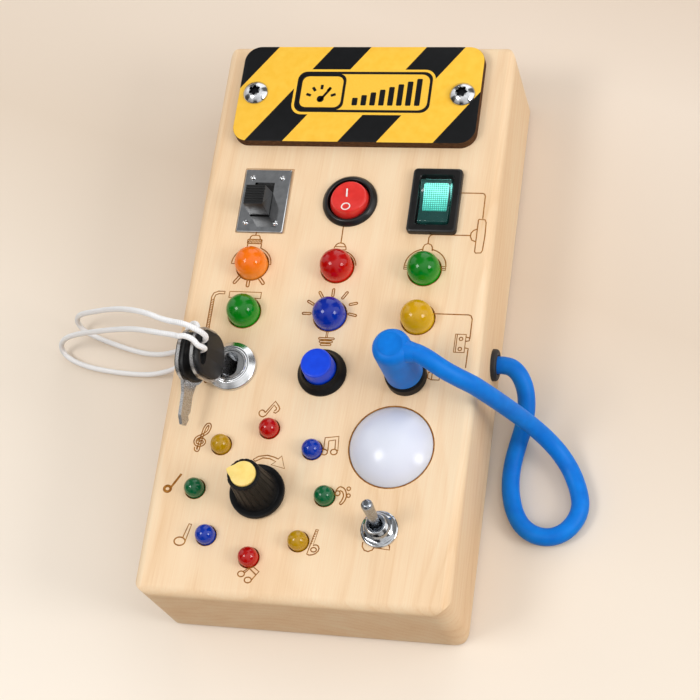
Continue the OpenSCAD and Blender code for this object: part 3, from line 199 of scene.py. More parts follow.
upper_strand = route([
    (-41, -8.1, 16.9), (-45.6, -8, 16.9), (-49.4, -7.4, 15.6), (-53, -6.4, 12), (-57.2, -5.4, 7.6), (-62, -4.4, 3.8),
    (-67.6, -3.3, 1.6), (-73.6, -1.9, 1.1), (-79.4, -0.2, 1.1), (-84.6, 1.5, 1.3), (-88.6, 3.1, 2.4),
    (-90.2, 4.5, 5.2), (-88.8, 4.8, 9.2), (-85, 3.7, 14.6), (-79.6, 1.6, 21), (-73.2, -1, 28.6), (-66.4, -3.8, 36.4),
    (-59.6, -6.8, 43.8), (-53, -9.8, 50), (-47.4, -12.2, 53.6), (-42.8, -14.1, 55), (-38.4, -15.4, 56)])
lower_strand = route([
    (-41, -10.1, 15), (-45.6, -10.2, 14.9), (-49.4, -10.6, 13.2), (-53.4, -11, 9.6), (-58, -11, 6),
    (-63.4, -10.8, 3), (-69, -10.4, 1.4), (-75, -10, 1.1), (-81.2, -9.3, 1.1), (-87, -8.1, 1.1), (-91.8, -6.3, 1.4),
    (-94.4, -4.3, 2.8), (-94, -3, 5.8), (-91, -2.7, 9.8), (-86, -3.5, 14.8), (-80, -5.2, 20.8), (-73.4, -7.4, 27.6),
    (-66.4, -9.8, 34.8), (-59.6, -12.2, 41.6), (-53.4, -14.4, 47.2), (-47.8, -16.4, 51.2), (-42.6, -17.9, 53.5),
    (-38.8, -18.8, 54.8), (-36.6, -19.52, 55.62)])
# the bight's points are taken from the middle of the lock, on the face
lock_x, lock_y, face_height = -27, -19.5, 34.0
bight_line = route([(x + lock_x, y + lock_y, z + face_height) for x, y, z in [
    (-11.3, 4.1, 22.1), (-9.1, 3.5, 22.9), (-6.8, 2.8, 23.1), (-4.7, 2.1, 22.6), (-3.1, 1.7, 21), (-2.5, 1.5, 18.8),
    (-3.3, 1.4, 16.6), (-5.2, 1.1, 15.3), (-7.1, 1.9, 14.3), (-7.1, 4.3, 13.8), (-7.4, 6.7, 13.8), (-9, 7.8, 12.6),
    (-10.6, 7.5, 11.1), (-11.6, 5.7, 10), (-11.3, 3.5, 9.7), (-9.4, 2.4, 9.7), (-7.3, 1.8, 10.4), (-6.7, 0.3, 11.9),
    (-6.9, -1.1, 13.7), (-5.2, -1.5, 15.1), (-3.2, -1.4, 16.2), (-2.7, -1.8, 18.3), (-3.7, -1.9, 20.3),
    (-5.1, -0.8, 21.6), (-7.3, -0.1, 22.1), (-9.55, -0.04, 21.65)]], 10)
for name, line, length in (("key_cord_upper", upper_strand, 0.136), ("key_cord_lower", lower_strand, 0.141),
                           ("key_cord_bight", bight_line, 0.058)):
    cord = piece(name + "_braid", tube(bmesh.new(), line, 0.82, 14), braid, None, name, slot="braid_white", sharp=80)
    if name == "key_cord_bight":
        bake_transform(cord)
    else:
        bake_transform(cord)


# The table the board lies on and the light over it. A plain warm sheet, a soft box on each
# side of the camera, and a pale room that is brighter overhead than towards the front.
table_top = bmesh.new()
bmesh.ops.create_grid(table_top, x_segments=24, y_segments=24, size=1.6, matrix=Matrix.Translation((0, 0, -0.0001)))
table_mesh = bpy.data.meshes.new("table_sheet")
table_top.to_mesh(table_mesh)
table_top.free()
sheet = bpy.data.objects.new("table_sheet", table_mesh)
bpy.context.scene.collection.objects.link(sheet)
# matt paper sheet: painted darker towards the back and the right, a painted falloff of light across the sheet
paper, t, place = finish_of("matt_paper")
x, y = add(t, "SeparateXYZ", [place], out=slice(2))
slope = add(t, "Math", [x, -0.0003], operation="MULTIPLY")
slope = add(t, "Math", [y, -0.0009, slope], operation="MULTIPLY_ADD")
slope = add(t, "MapRange", [slope, -0.15, 0.2, 0.0, 1.0])
tone = add(t, "ValToRGB", [slope], stops=[(0.0, "#e2d0be"), (0.13, "#ebdccc"), (0.32, "#e3d2bf"), (0.52, "#f1e4d4"),
                                          (1.0, "#fdf4e8")])
# a darker cloth for the light that it throws back at the board, the pale sheet for what is seen
rays = [add(t, "LightPath", out="Is %s Ray" % kind) for kind in ("Camera", "Glossy", "Transmission")]
shown = add(t, "Math", [add(t, "Math", rays[:2], operation="ADD"), rays[2]], operation="ADD", use_clamp=True)
tone = add(t, "Mix", {0: shown, 6: linear("#b5a189"), 7: tone}, out=2, data_type="RGBA")
add(t, "OutputMaterial", [add(t, "BsdfPrincipled", {
    "Base Color": tone, "Roughness": 0.95, "Specular IOR Level": 0.1})])
sheet.data.materials.append(paper)

toward_camera = (camera.location - Vector((0, 0, 0.03))).normalized()
camera_right = camera.rotation_euler.to_matrix() @ Vector((1, 0, 0))
camera_up = camera.rotation_euler.to_matrix() @ Vector((0, 1, 0))
# each soft box is 0.3 m across and hangs a metre from the board, the right one a little stronger
for name, right, up, watts in (("left_soft_box", -0.66, 0.14, 2.4), ("right_soft_box", 0.66, 0.02, 2.5)):
    lamp = bpy.data.lights.new(name, "AREA")
    lamp.shape = "SQUARE"
    lamp.size = 0.3
    lamp.energy = watts
    lamp.color = (1.0, 0.985, 0.965)
    box = bpy.data.objects.new(name, lamp)
    way = (toward_camera * 0.75 + camera_right * right + camera_up * up).normalized()
    box.location = way
    box.rotation_euler = way.to_track_quat("Z", "Y").to_euler()
    bpy.context.scene.collection.objects.link(box)

world = bpy.data.worlds.new("pale_room")
bpy.context.scene.world = world
world.use_nodes = True
t = world.node_tree
t.nodes.clear()
way = add(t, "TexCoord", out="Generated")
across, along, up = add(t, "SeparateXYZ", [way], out=slice(3))
level = add(t, "Math", [up, 0.6], operation="MULTIPLY")
level = add(t, "Math", [across, 0.22, level], operation="MULTIPLY_ADD")
level = add(t, "Math", [along, 0.5, level], operation="MULTIPLY_ADD")
room = add(t, "ValToRGB", [add(t, "MapRange", [level, -0.5, 0.55])],
           stops=[(0.0, (0.05, 0.045, 0.04, 1)), (0.5, (0.5, 0.49, 0.48, 1)), (1.0, (1.0, 1.0, 1.0, 1))])
# a black screen hangs over the far end, so that flat metal and gloss show depth
toward = add(t, "VectorMath", [way, Vector((-0.25, 0.38, 0.89)).normalized()], out=1, operation="DOT_PRODUCT")
screen = add(t, "MapRange", [toward, 0.84, 0.95, 1.0, 0.2])
room = add(t, "Mix", {0: 1.0, 6: room, 7: screen}, out=2, data_type="RGBA", blend_type="MULTIPLY")
# five dark uprights stand round the room, which bright metal shows as bands
band = add(t, "Math", [add(t, "Math", [along, across], operation="ARCTAN2"), 5.0, 0.6], operation="MULTIPLY_ADD")
band = add(t, "MapRange", [add(t, "Math", [band], operation="SINE"), -0.5, 0.1, 0.12, 1.28])
band = add(t, "Mix", {0: add(t, "MapRange", [up, 0.55, 0.8]), 2: band, 3: 1.0}, data_type="FLOAT")
room = add(t, "Mix", {0: 1.0, 6: room, 7: band}, out=2, data_type="RGBA", blend_type="MULTIPLY")
add(t, "OutputWorld", [add(t, "Background", [room, 1.22])])
bpy.context.scene.view_settings.view_transform = "Standard"


# The wooden body. One pine block, its face and sides sanded and left bare, the corners and
# edges rounded over; it is hollow from the back. The solid from the source is right as it is.
def dress(finish, *names):
    """Gives the solids from the source a finish."""
    for name in names:
        nodes[name].data.materials.clear()
        nodes[name].data.materials.append(finish)


# bare pine: yearly rings about a heart that lies under the block, so the face shows long soft
# stripes and the ends show arcs, with fine fibres along the block
pine, t, place = finish_of("sanded_pine")
place = add(t, "Mapping", {"Vector": place, "Location": (14, 0, 46), "Rotation": (0.0, 0.0, 0.035)})
drift, broad, fibre = [
    add(t, "TexNoise", {"Vector": add(t, "Mapping", {"Vector": place, "Scale": size}), "Scale": 1.0, "Detail": detail,
                        "Roughness": rough}, out=out)
    for size, detail, rough, out in (((0.024, 0.008, 0.024), 2, 0.5, 1), ((0.09, 0.012, 0.09), 2, 0.5, 0),
                                     ((2.6, 0.05, 2.6), 5, 0.65, 0))]
wander = add(t, "VectorMath", [drift, (0.5, 0.5, 0.5)], operation="SUBTRACT")
wander = add(t, "VectorMath", [wander, (22, 0, 22)], operation="MULTIPLY")
moved = add(t, "VectorMath", [place, wander], operation="ADD")
heart = add(t, "VectorMath", [moved, (1, 0, 1)], operation="MULTIPLY")
heart = add(t, "VectorMath", [heart], out=1, operation="LENGTH")
# a ring every 3.1 mm: pale early wood that darkens slowly, then drops back
ring = add(t, "Math", [add(t, "Math", [heart, 3.1], operation="DIVIDE")], operation="FRACT")
greys = ((0.0, 0.3), (0.5, 0.42), (0.85, 1), (1.0, 0.3))
band = add(t, "ValToRGB", [ring], stops=[(at, (grey, grey, grey, 1)) for at, grey in greys])
mixed = add(t, "Math", [broad, 0.5], operation="MULTIPLY")
mixed = add(t, "Math", [fibre, 0.4, mixed], operation="MULTIPLY_ADD")
mixed = add(t, "Math", [band, 0.13, mixed], operation="MULTIPLY_ADD")
tone = add(t, "ValToRGB", [mixed], stops=[(0.34, "#f7dfbc"), (0.52, "#f3d3ac"), (0.66, "#ecc79c"), (0.82, "#e0b487")])
add(t, "OutputMaterial", [add(t, "BsdfPrincipled", {
    "Base Color": tone, "Roughness": add(t, "MapRange", {0: fibre, 3: 0.52, 4: 0.68}), "Specular IOR Level": 0.35,
    "Normal": add(t, "Bump", {"Strength": 0.35, "Distance": 0.00008, "Height": fibre})})])
dress(pine, "wooden_body")


# The burnt drawings. Thin brown lines that a laser has drawn on the face: small scenes round
# the lamps, notes round the dial, and a dark ring at every hole, part scorch and part painted shade in the gap round
# the lamp. They lie in the surface.
drawing = bpy.data.curves.new("burnt_lines", "CURVE")
drawing.dimensions = "3D"
drawing.bevel_depth = 0.5
drawing.bevel_resolution = 1


def burn(points, width=0.3, closed=False, curved=False):
    """Adds one burnt line, in millimetres on the face."""
    # the beam scorches a little beyond the line that it follows
    width += 0.06
    points = [(p[0], p[1], 0.0) for p in points]
    if curved:
        points = [tuple(p) for p in route(points + points[:1] if closed else points, 6)]
        points = points[:-1] if closed else points
    spline = drawing.splines.new("POLY")
    spline.points.add(len(points) - 1)
    for p, at in zip(spline.points, points):
        p.co, p.radius = (*at, 1), width
    spline.use_cyclic_u = closed


def oval(x, y, rx, ry=None, start=0, end=360, steps=None):
    """Points of an ellipse or of a part of one, about every 7 degrees where no number of steps is given."""
    steps = steps or max(10, int(abs(end - start) / 7))
    return [(x + rx * math.cos(math.radians(start + (end - start) * i / steps)),
             y + (ry or rx) * math.sin(math.radians(start + (end - start) * i / steps)))
            for i in range(steps + (abs(end - start) < 360))]


def pill(ax, ay, bx, by, width=0.8):
    """Points round a dash with round ends."""
    turn = math.degrees(math.atan2(by - ay, bx - ax))
    r = width / 2
    return oval(bx, by, r, None, turn - 90, turn + 90, 6) + oval(ax, ay, r, None, turn + 90, turn + 270, 6)


# dark rims of the lamp holes and of the dome's hole: partly the scorched edge, partly painted shade of the gap between
# each lamp and its hole
lamp_spots = {"orange": (-26, 13.1), "red": (0, 13.1), "green_right": (26, 13.1),
              "green_left": (-26, -2.2), "blue": (0, -2.2), "yellow": (26, -2.2)}
for spot in lamp_spots.values():
    burn(oval(*spot, 5.05), 0.16, True)
dome_spot = (23.3, -41.3)
burn(oval(*dome_spot, 12.15), 0.3, True)
ring_spots = oval(-12.6, -56.9, 19, steps=8)
for spot in ring_spots:
    burn(oval(*spot, 3.06), 0.08, True)
# hanging lamp over the orange light
burn([(-26.5, 24.2), (-26.5, 22.8)])
burn([(-28.2, 21.4), (-28.0, 22.3), (-27.5, 22.8), (-25.5, 22.8), (-25.1, 22.3), (-24.9, 21.4)])
burn([(-28.7, 21.3), (-28.4, 21.45), (-24.6, 21.45), (-24.3, 21.3), (-24.3, 20.3), (-24.6, 20.1), (-28.4, 20.1),
      (-28.7, 20.3)], 0.3, True)
for i in range(9):
    burn([(-28.5 + 0.46 * i, 20.35), (-28.2 + 0.46 * i, 21.25)], 0.24)
burn([(-28.55, 20.1), (-28.55, 18.6)])
burn([(-24.3, 20.1), (-24.3, 18.5)])
burn([(-31.1, 13.4)] + oval(-26.5, 13.4, 6.08, 5.6, 180, 110))
burn(oval(-26.5, 13.4, 6.08, 5.6, 68, 0) + [(-21.9, 13.4)])
for dash in ((-29.3, 9.2, -30.6, 7.3), (-26.4, 8.4, -26.4, 6.4), (-23.2, 9.0, -21.8, 7.3)):
    burn(pill(*dash), 0.34, True)
# bulb on a wire round the red light
burn([(-0.1, 26.9), (-0.1, 21.1)])
burn(oval(-0.1, 19.8, 1.5, 1.25, 180, 0))
burn([(-1.95, 19.0), (-1.8, 19.85), (1.6, 19.85), (1.75, 19.0), (1.6, 18.85), (-1.8, 18.85)], 0.3, True)
burn(oval(0, 13.1, 5.5, None, 78, 8))
# bell over the right green light, on a wire from the box at the edge
burn([(38.2, 24.55), (27.2, 24.55), (26.4, 24.3), (26, 23.5), (26, 21.65)])
burn([(24.7, 19.2), (24.7, 20.4), (25.1, 21.2), (26, 21.65), (27, 21.2), (27.4, 20.4), (27.5, 19.3)])
burn(oval(26, 14.4, 6.1, 5.5, 104, 180))
burn(oval(26, 14.4, 6.1, 5.5, 76, 0))
for side in (19.8, 30.7):
    burn([(side, 14.45), (side + 1.4, 14.45), (side + 1.4, 13.25), (side, 13.25)], 0.28, True)
    burn([(side, 13.85), (side + 1.4, 13.85)], 0.22)
burn([(33.8, 38.25), (40.2, 38.25), (40.85, 38.0), (41.1, 37.3), (41.15, 30)])
burn([(40.1, 29.8), (41.9, 29.7), (42.3, 28.8), (42.4, 24.4), (42.2, 19.9), (41.8, 19.1), (40.3, 19.0), (39.95, 19.4),
      (39.95, 29.4)], 0.3, True)
burn([(39.8, 26.6), (38.9, 26.2), (38.25, 25.3), (38.2, 24.2), (38.7, 23.1), (39.9, 22.6)])
# bent pipe at the left green light
burn([(-31.5, 4.35), (-21.8, 4.35), (-21.8, 2.4), (-31.5, 2.4)], 0.3, True)
burn([(-36.8, -7.8), (-36.8, 2.5), (-36.3, 3.7), (-35, 4.3), (-33, 4.3), (-33, 3.5), (-34.7, 3.5), (-35.6, 3.1),
      (-35.95, 2.2), (-35.95, -7.8)], 0.3)
for i in range(12):
    burn([(-36.7, -7.6 + 0.8 * i), (-36.05, -7.0 + 0.8 * i)], 0.2)
# shining bulb at the blue light
for dash in ((-0.1, 6.0, -0.1, 4.1), (-4.1, 5.0, -3.2, 3.6), (4.05, 5.2, 2.95, 3.45), (-7.1, 2.05, -5.6, 1.2),
             (5.5, 1.5, 7.3, 1.95), (-8.1, -1.8, -6.1, -1.8), (5.6, -1.5, 7.5, -1.9)):
    burn(pill(*dash, 0.62), 0.3, True)
burn([(-0.3, -7.2), (-0.3, -9.2)], 0.2)
burn([(0.15, -7.2), (0.15, -9.2)], 0.2)
for a, b, y in ((-2.1, 2.0, -9.45), (-1.8, 1.6, -10.4), (-1.4, 1.25, -11.3)):
    burn(pill(a, y, b, y, 0.55), 0.26, True)
burn([(-1.6, -9.93), (1.5, -9.93)], 0.34)
burn([(-1.3, -10.86), (1.2, -10.86)], 0.34)
# wires and a switch box at the yellow light
burn([(30.4, -0.45), (40.6, -0.45), (41.3, -0.75), (41.7, -1.7), (41.7, -7.8)])
burn([(37.5, -6.5), (40.55, -6.5), (40.55, -12.05), (37.5, -12.05)], 0.3, True)
burn([(38.0, -6.6), (38.0, -11.95)], 0.22)
burn(oval(39.2, -7.9, 0.5), 0.26, True)
burn(oval(39.2, -11.0, 0.5), 0.26, True)
burn([(40.6, -7.3), (41.6, -7.5), (41.6, -8.4), (40.6, -8.6)])
burn([(40.6, -10.6), (41.6, -10.8), (41.55, -11.4), (41.5, -16.7)])
burn([(31.0, -18.6), (32.2, -18.1), (34.4, -18.1), (34.4, -20.7), (32.2, -20.7), (31.0, -20.2)], 0.28, True)
burn([(32.2, -18.1), (32.2, -20.7)], 0.24)
burn(oval(-33.9, -24.0, 0.7), 0.3, True)
# notes, clefs and the arrow round the dial
burn([(-14.7, -33), (-15.2, -32.4), (-15.9, -32.3), (-16.5, -33), (-16.2, -33.9), (-15.2, -34.3), (-14.3, -33.7)], 0.3,
     False, True)
burn([(-14.7, -33), (-12.2, -29.4), (-11, -30.8), (-10.6, -31.6), (-10.9, -32.4), (-11.7, -33), (-12.3, -32.7)])
burn([(-14.3, -33.6), (-12.4, -30.6), (-11.6, -31.4), (-11.6, -31.9), (-12.1, -32.4)])
burn([(4.6, -43.1), (4.0, -42.9), (4.0, -39.6), (7.9, -39.0), (8.2, -43.2), (7.6, -43.2)], 0.3)
burn([(5.3, -43.4), (5.2, -40.5), (7.1, -40.1), (7.3, -42.9)], 0.3)
burn(oval(4.3, -43.9, 0.95, 0.8), 0.3, True)
burn(oval(7.1, -43.7, 0.95, 0.8), 0.3, True)
burn(oval(9.9, -55.7, 0.7), 0.3, True)
burn([(9.3, -55), (10.3, -53.8), (11.8, -54.4), (12.5, -56.2), (12.2, -57.8), (11.3, -59)], 0.3, False, True)
burn([(10.4, -54.9), (11.2, -55.2), (11.7, -56.4), (11.3, -57.8), (10.9, -58.6), (11.3, -59)], 0.3, False, True)
burn(oval(12.9, -54.2, 0.5), 0.28, True)
burn(oval(13.1, -56.2, 0.5), 0.28, True)
burn([(5.3, -66.6), (3.7, -73.7), (4.4, -73.95), (5.3, -73.8), (6.2, -73.35), (6.8, -72.65), (6.95, -71.9),
      (6.7, -71.3), (6.15, -70.95), (5.55, -70.95), (5.15, -71.2), (6.0, -66.6)], 0.3, True)
burn(oval(5.45, -72.35, 0.8, 0.62), 0.28, True)
for i in range(6):
    burn([(5.25 - 0.2 * i, -67.3 - 0.7 * i), (5.75 - 0.2 * i, -67.0 - 0.7 * i)], 0.18)
burn(oval(-14.1, -80.6, 0.95, 0.8), 0.3, True)
burn(oval(-11.9, -82.2, 1.0, 0.8), 0.3, True)
burn([(-13.2, -80.3), (-11.2, -78.2), (-9.1, -79.6), (-10.9, -82.2)])
burn([(-13.6, -79.9), (-12.0, -78.6)], 0.24)
burn([(-11.8, -79.0), (-9.9, -80.5)])
burn(oval(-33.5, -72.5, 1.6, 1.2), 0.34, True)
burn([(-32, -73), (-30.8, -67.4), (-31.6, -67.3), (-32.75, -71.4)], 0.28)
burn(oval(-39.8, -57.4, 0.95, 0.85), 0.75, True)
burn([(-38.9, -57), (-36.4, -52.75)], 0.6)
clef = [(-33.6, -44.4), (-33.5, -45.2), (-32.9, -45.4), (-32.7, -44.4), (-32.6, -43), (-32.2, -40.5), (-31.9, -38.8),
        (-31.3, -37.6), (-30.6, -37.5), (-30.4, -38.4), (-30.9, -39.8), (-32.2, -40.8), (-33.6, -41.6), (-34.1, -42.6),
        (-33.7, -43.6), (-32.6, -43.9), (-31.6, -43.5), (-31.3, -42.7), (-31.9, -42.1), (-32.8, -42.2), (-33, -42.8)]
line = route([(x, y, 0) for x, y in clef], 6)
for side in (0.34, -0.34):
    edge = []
    for i, p in enumerate(line):
        way = (line[min(i + 1, len(line) - 1)] - line[max(i - 1, 0)]).normalized()
        edge.append((p.x - way.y * side, p.y + way.x * side))
    burn(edge, 0.3)
burn([(-16, -47.2), (-14.5, -46.2), (-12, -45.75), (-9.9, -46.2), (-8.7, -46.7), (-7.8, -45.7), (-6.45, -49.4),
      (-10.5, -48.5), (-9.3, -47.5), (-11.2, -46.7), (-13.2, -46.6), (-15.3, -47.75)], 0.3, True)
# torch under the toggle
burn([(26, -69), (26.6, -70), (26.7, -70.95), (22.3, -70.6), (21.9, -71.3), (20.8, -71.8), (19.7, -71.5), (19, -70.5),
      (19, -69.2)])
burn([(22.2, -70.6), (22.25, -69.6)], 0.26)

drawn = bpy.data.objects.new("burnt_lines", drawing)
bpy.context.scene.collection.objects.link(drawn)
bpy.context.view_layer.update()
lines = bmesh.new()
lines.from_mesh(bpy.data.meshes.new_from_object(drawn.evaluated_get(bpy.context.evaluated_depsgraph_get())))
bpy.data.objects.remove(drawn)
# flattened to a tenth, and half sunk into the face
bmesh.ops.scale(lines, vec=(1, 1, 0.1), verts=lines.verts)
bmesh.ops.translate(lines, vec=(0, 0, face_height), verts=lines.verts)
# scorched pine: caramel to dark brown as the beam ran hotter or cooler, quite matt
scorch, t, place = finish_of("laser_scorched_pine")
heat = add(t, "TexNoise", {"Vector": place, "Scale": 0.9, "Detail": 4})
tone = add(t, "ValToRGB", [heat], stops=[(0.25, "#79450f"), (0.5, "#9a6120"), (0.75, "#b67f3a")])
add(t, "OutputMaterial", [add(t, "BsdfPrincipled", {"Base Color": tone, "Roughness": 0.85, "Specular IOR Level": 0.2})])
piece("burnt_drawings", lines, scorch, "board", slot="pine")


# The back cover, six countersunk screws, and the battery box let into it with its door, spring
# contacts and two cells. The cover is thin birch plywood; the box and its door are moulded.
def clouded(name, scale, detail, dark, light, rough, more=None, grain=None):
    """A finish whose tone wanders from dark to light, and its roughness too if that is a pair. Scale is how
    often per millimetre; grain is the strength, depth, scale and detail of a fine bump."""
    made, t, place = finish_of(name)
    cloud = add(t, "TexNoise", {"Vector": place, "Scale": scale, "Detail": detail})
    sockets = {"Base Color": add(t, "ValToRGB", [cloud], stops=[(0.3, dark), (0.7, light)]), **(more or {})}
    pair = isinstance(rough, tuple)
    sockets["Roughness"] = add(t, "MapRange", {0: cloud, 3: rough[0], 4: rough[1]}) if pair else rough
    if grain:
        fine = add(t, "TexNoise", {"Vector": place, "Scale": grain[2], "Detail": grain[3]})
        sockets["Normal"] = add(t, "Bump", {"Strength": grain[0], "Distance": grain[1], "Height": fine})
    add(t, "OutputMaterial", [add(t, "BsdfPrincipled", sockets)])
    return made


# birch plywood: pale, faintly streaked along the block, with a little flame in it
plywood, t, place = finish_of("birch_plywood")
streak, flame = [
    add(t, "TexNoise", {"Vector": add(t, "Mapping", {"Vector": place, "Scale": size}), "Scale": 1.0, "Detail": detail,
                        "Distortion": bend})
    for size, detail, bend in (((1.1, 0.06, 1.1), 5, 0.4), ((0.08, 0.03, 0.08), 3, 1.5))]
mixed = add(t, "Math", [flame, 0.5], operation="MULTIPLY")
mixed = add(t, "Math", [streak, 0.6, mixed], operation="MULTIPLY_ADD")
tone = add(t, "ValToRGB", [mixed], stops=[(0.35, "#d2ac7c"), (0.55, "#e3c497"), (0.75, "#edd4ac")])
add(t, "OutputMaterial", [add(t, "BsdfPrincipled", {
    "Base Color": tone, "Roughness": 0.62, "Specular IOR Level": 0.35,
    "Normal": add(t, "Bump", {"Strength": 0.3, "Distance": 0.0001, "Height": streak})})])
metal = {"Metallic": 1.0}
# zinc-plated steel: bluish grey with a mottled bloom of crystals about 1 mm across
zinc = clouded("zinc_plated_steel", 1.1, 4, "#a9adb3", "#d3d6da", (0.18, 0.34), metal)
# black ABS, spark-eroded mould: a fine even texture of about 0.3 mm and a soft gloss
black_abs = clouded("textured_black_abs", 0.25, 2, "#131314", "#1c1c1d", (0.38, 0.5), {"Specular IOR Level": 0.35},
                    (0.25, 0.00005, 3.4, 3))
# nickel-plated spring wire: bright, drawn, slightly warm
contact = clouded("nickel_plated_spring", 2.5, 3, "#b9b3a6", "#ded9cd", 0.22, metal)
# printed shrink sleeve of the cells: dark grey body and a copper-coloured end band
sleeve, t, place = finish_of("printed_cell_sleeve")
end = add(t, "Math", [add(t, "SeparateXYZ", [place]), 11.0], operation="GREATER_THAN")
tone = add(t, "Mix", {0: end, 6: linear("#2c2e31"), 7: linear("#b0713c")}, out=2, data_type="RGBA")
grain = add(t, "TexNoise", {"Vector": place, "Scale": 0.8})
add(t, "OutputMaterial", [add(t, "BsdfPrincipled", {
    "Base Color": tone, "Roughness": add(t, "MapRange", {0: grain, 3: 0.22, 4: 0.34})})])
for name, finish in (("back_cover", plywood), ("cover_screws", zinc), ("battery_box", black_abs),
                     ("battery_door", black_abs), ("battery_contacts", contact), ("aa_cells", sleeve)):
    dress(finish, name)


# The name plate. Board 3.2 mm thick cut by laser, so its edge is burnt dark; the top is sprayed
# yellow with slanting black stripes, and a plain badge of level bars is printed on it.
def shift(x, y, z=0.0):
    """A move, as a matrix."""
    return Matrix.Translation((x, y, z))


def swing(degrees, axis):
    """A turn about an axis, as a matrix."""
    return Matrix.Rotation(math.radians(degrees), 4, axis)


def move(form, matrix, verts=None):
    """Moves a form, or some of its corners."""
    bmesh.ops.transform(form, matrix=matrix, verts=form.verts if verts is None else list(verts))


def raise_by(form, face, rise):
    """Draws a face up or down with walls under its rim."""
    bmesh.ops.inset_region(form, faces=[face], thickness=0, depth=rise, use_boundary=True)


def slab(size, corner, z, steps, at=(0, 0), form=None, closed=True, round_by=6):
    """Adds a rounded rectangle at height z and raises it by steps of (inset, rise); gives the form and last face."""
    form = form or bmesh.new()
    faces, edges = set(form.faces), set(form.edges)
    start = bmesh.ops.create_grid(form, x_segments=1, y_segments=1, size=0.5,
                                  matrix=shift(*at, z) @ Matrix.Diagonal((*size, 1, 1)))["verts"]
    bmesh.ops.bevel(form, geom=start, offset=corner, affect="VERTICES", segments=round_by, profile=0.5, material=-1)
    face = next(f for f in form.faces if f not in faces)
    if face.normal.z < 0:
        face.normal_flip()
    for inset, rise in steps:
        raise_by(form, face, rise)
        shrink = Matrix.Diagonal((1 - 2 * inset / size[0], 1 - 2 * inset / size[1], 1, 1))
        move(form, shift(*at) @ shrink @ shift(-at[0], -at[1]), face.verts)
        size = (size[0] - 2 * inset, size[1] - 2 * inset)
    if closed:
        bmesh.ops.contextual_create(form, geom=[e for e in form.edges if e not in edges and e.is_boundary])
    return form, face


plate = slab((75, 32.8), 5, face_height, [(0, 3.02), (0.06, 0.12), (0.12, 0.06)], at=(-1, 69.3), round_by=10)[0]
# sprayed board: smooth satin paint, with the burnt edge below the top face
sprayed, t, place = finish_of("sprayed_board")
at_x, at_y, at_z = add(t, "SeparateXYZ", [place], out=slice(3))
# the stripes lean, and one comes every 29.1 mm, 0.41 of it black
lean = add(t, "Math", [add(t, "Math", [at_y, 53.0], operation="SUBTRACT"), -0.715, at_x], operation="MULTIPLY_ADD")
part = add(t, "Math", [add(t, "Math", [lean, 34.1], operation="ADD"), 29.1], operation="DIVIDE")
stripe = add(t, "Math", [add(t, "Math", [part], operation="FRACT"), 0.41], operation="LESS_THAN")
cloud = add(t, "TexNoise", {"Vector": place, "Scale": 0.35, "Detail": 3})
speck = add(t, "TexNoise", {"Vector": place, "Scale": 5.0, "Detail": 2})
paints = [add(t, "ValToRGB", [cloud], stops=[(0.3, dark), (0.7, light)])
          for dark, light in (("#fbc23a", "#ffcb48"), ("#08090b", "#0e0f12"))]
painted = add(t, "Mix", {0: stripe, 6: paints[0], 7: paints[1]}, out=2, data_type="RGBA")
char = add(t, "Mapping", {"Vector": place, "Scale": (0.7, 0.7, 2.6)})
char = add(t, "ValToRGB", [add(t, "TexNoise", {"Vector": char, "Scale": 1.0, "Detail": 3})],
           stops=[(0.3, "#3d2615"), (0.6, "#5d3e25"), (0.8, "#7a5433")])
on_top = add(t, "Math", [at_z, 37.1], operation="GREATER_THAN")
tone = add(t, "Mix", {0: on_top, 6: char, 7: painted}, out=2, data_type="RGBA")
rough = add(t, "Mix", {0: on_top, 2: 0.9, 3: add(t, "MapRange", {0: speck, 3: 0.40, 4: 0.52})}, data_type="FLOAT")
add(t, "OutputMaterial", [add(t, "BsdfPrincipled", {
    "Base Color": tone, "Roughness": rough, "Specular IOR Level": 0.2,
    "Normal": add(t, "Bump", {"Strength": 0.12, "Distance": 0.00004, "Height": speck})})])
piece("striped_name_plate", plate, sprayed, "board", "name_plate", slot="plate_paint")

# screen-printed inks: the badge's yellow ground and its black figures, a hair above the paint
inks = [clouded("screen_print_" + name, 2.5, 3, dark, light, (0.38, 0.5), {"Specular IOR Level": 0.2})
        for name, dark, light in (("ground", "#fbc23a", "#ffcd4d"), ("figures", "#0e0f11", "#151618"))]
badge, gauge, pivot, paint_top = (0.6, 69.9), (-12.4, 69.9), (-12.4, 67.4), 37.2
ground = slab((43.6, 15.6), 3.4, paint_top, [(0, 0.03)], at=badge, round_by=8)[0]
slab((12.6, 10.4), 1.6, paint_top, [(0, 0.09)], at=gauge, form=ground)
piece("badge_ground", ground, inks[0], "board", slot="plate_paint")
# the outlines of the badge and of its gauge, then eight level bars that rise to the right
figures = bmesh.new()
for size, corner, at in (((42.0, 14.0), 2.8, badge), ((14.6, 12.4), 2.4, gauge)):
    slab(size, corner, paint_top, [(0, 0.06), (0.85, 0), (0, -0.055)], at=at, form=figures)
inner = [f for f in figures.faces if f.calc_area() > 60 and f.normal.z > 0 and f.calc_center_median().z < 37.25]
bmesh.ops.delete(figures, geom=inner, context="FACES_ONLY")
for i in range(8):
    tall = 2.6 + 0.95 * i
    slab((1.7, tall), 0.35, paint_top, [(0, 0.06)], at=(-1.6 + 2.75 * i, 65.3 + tall / 2), form=figures)
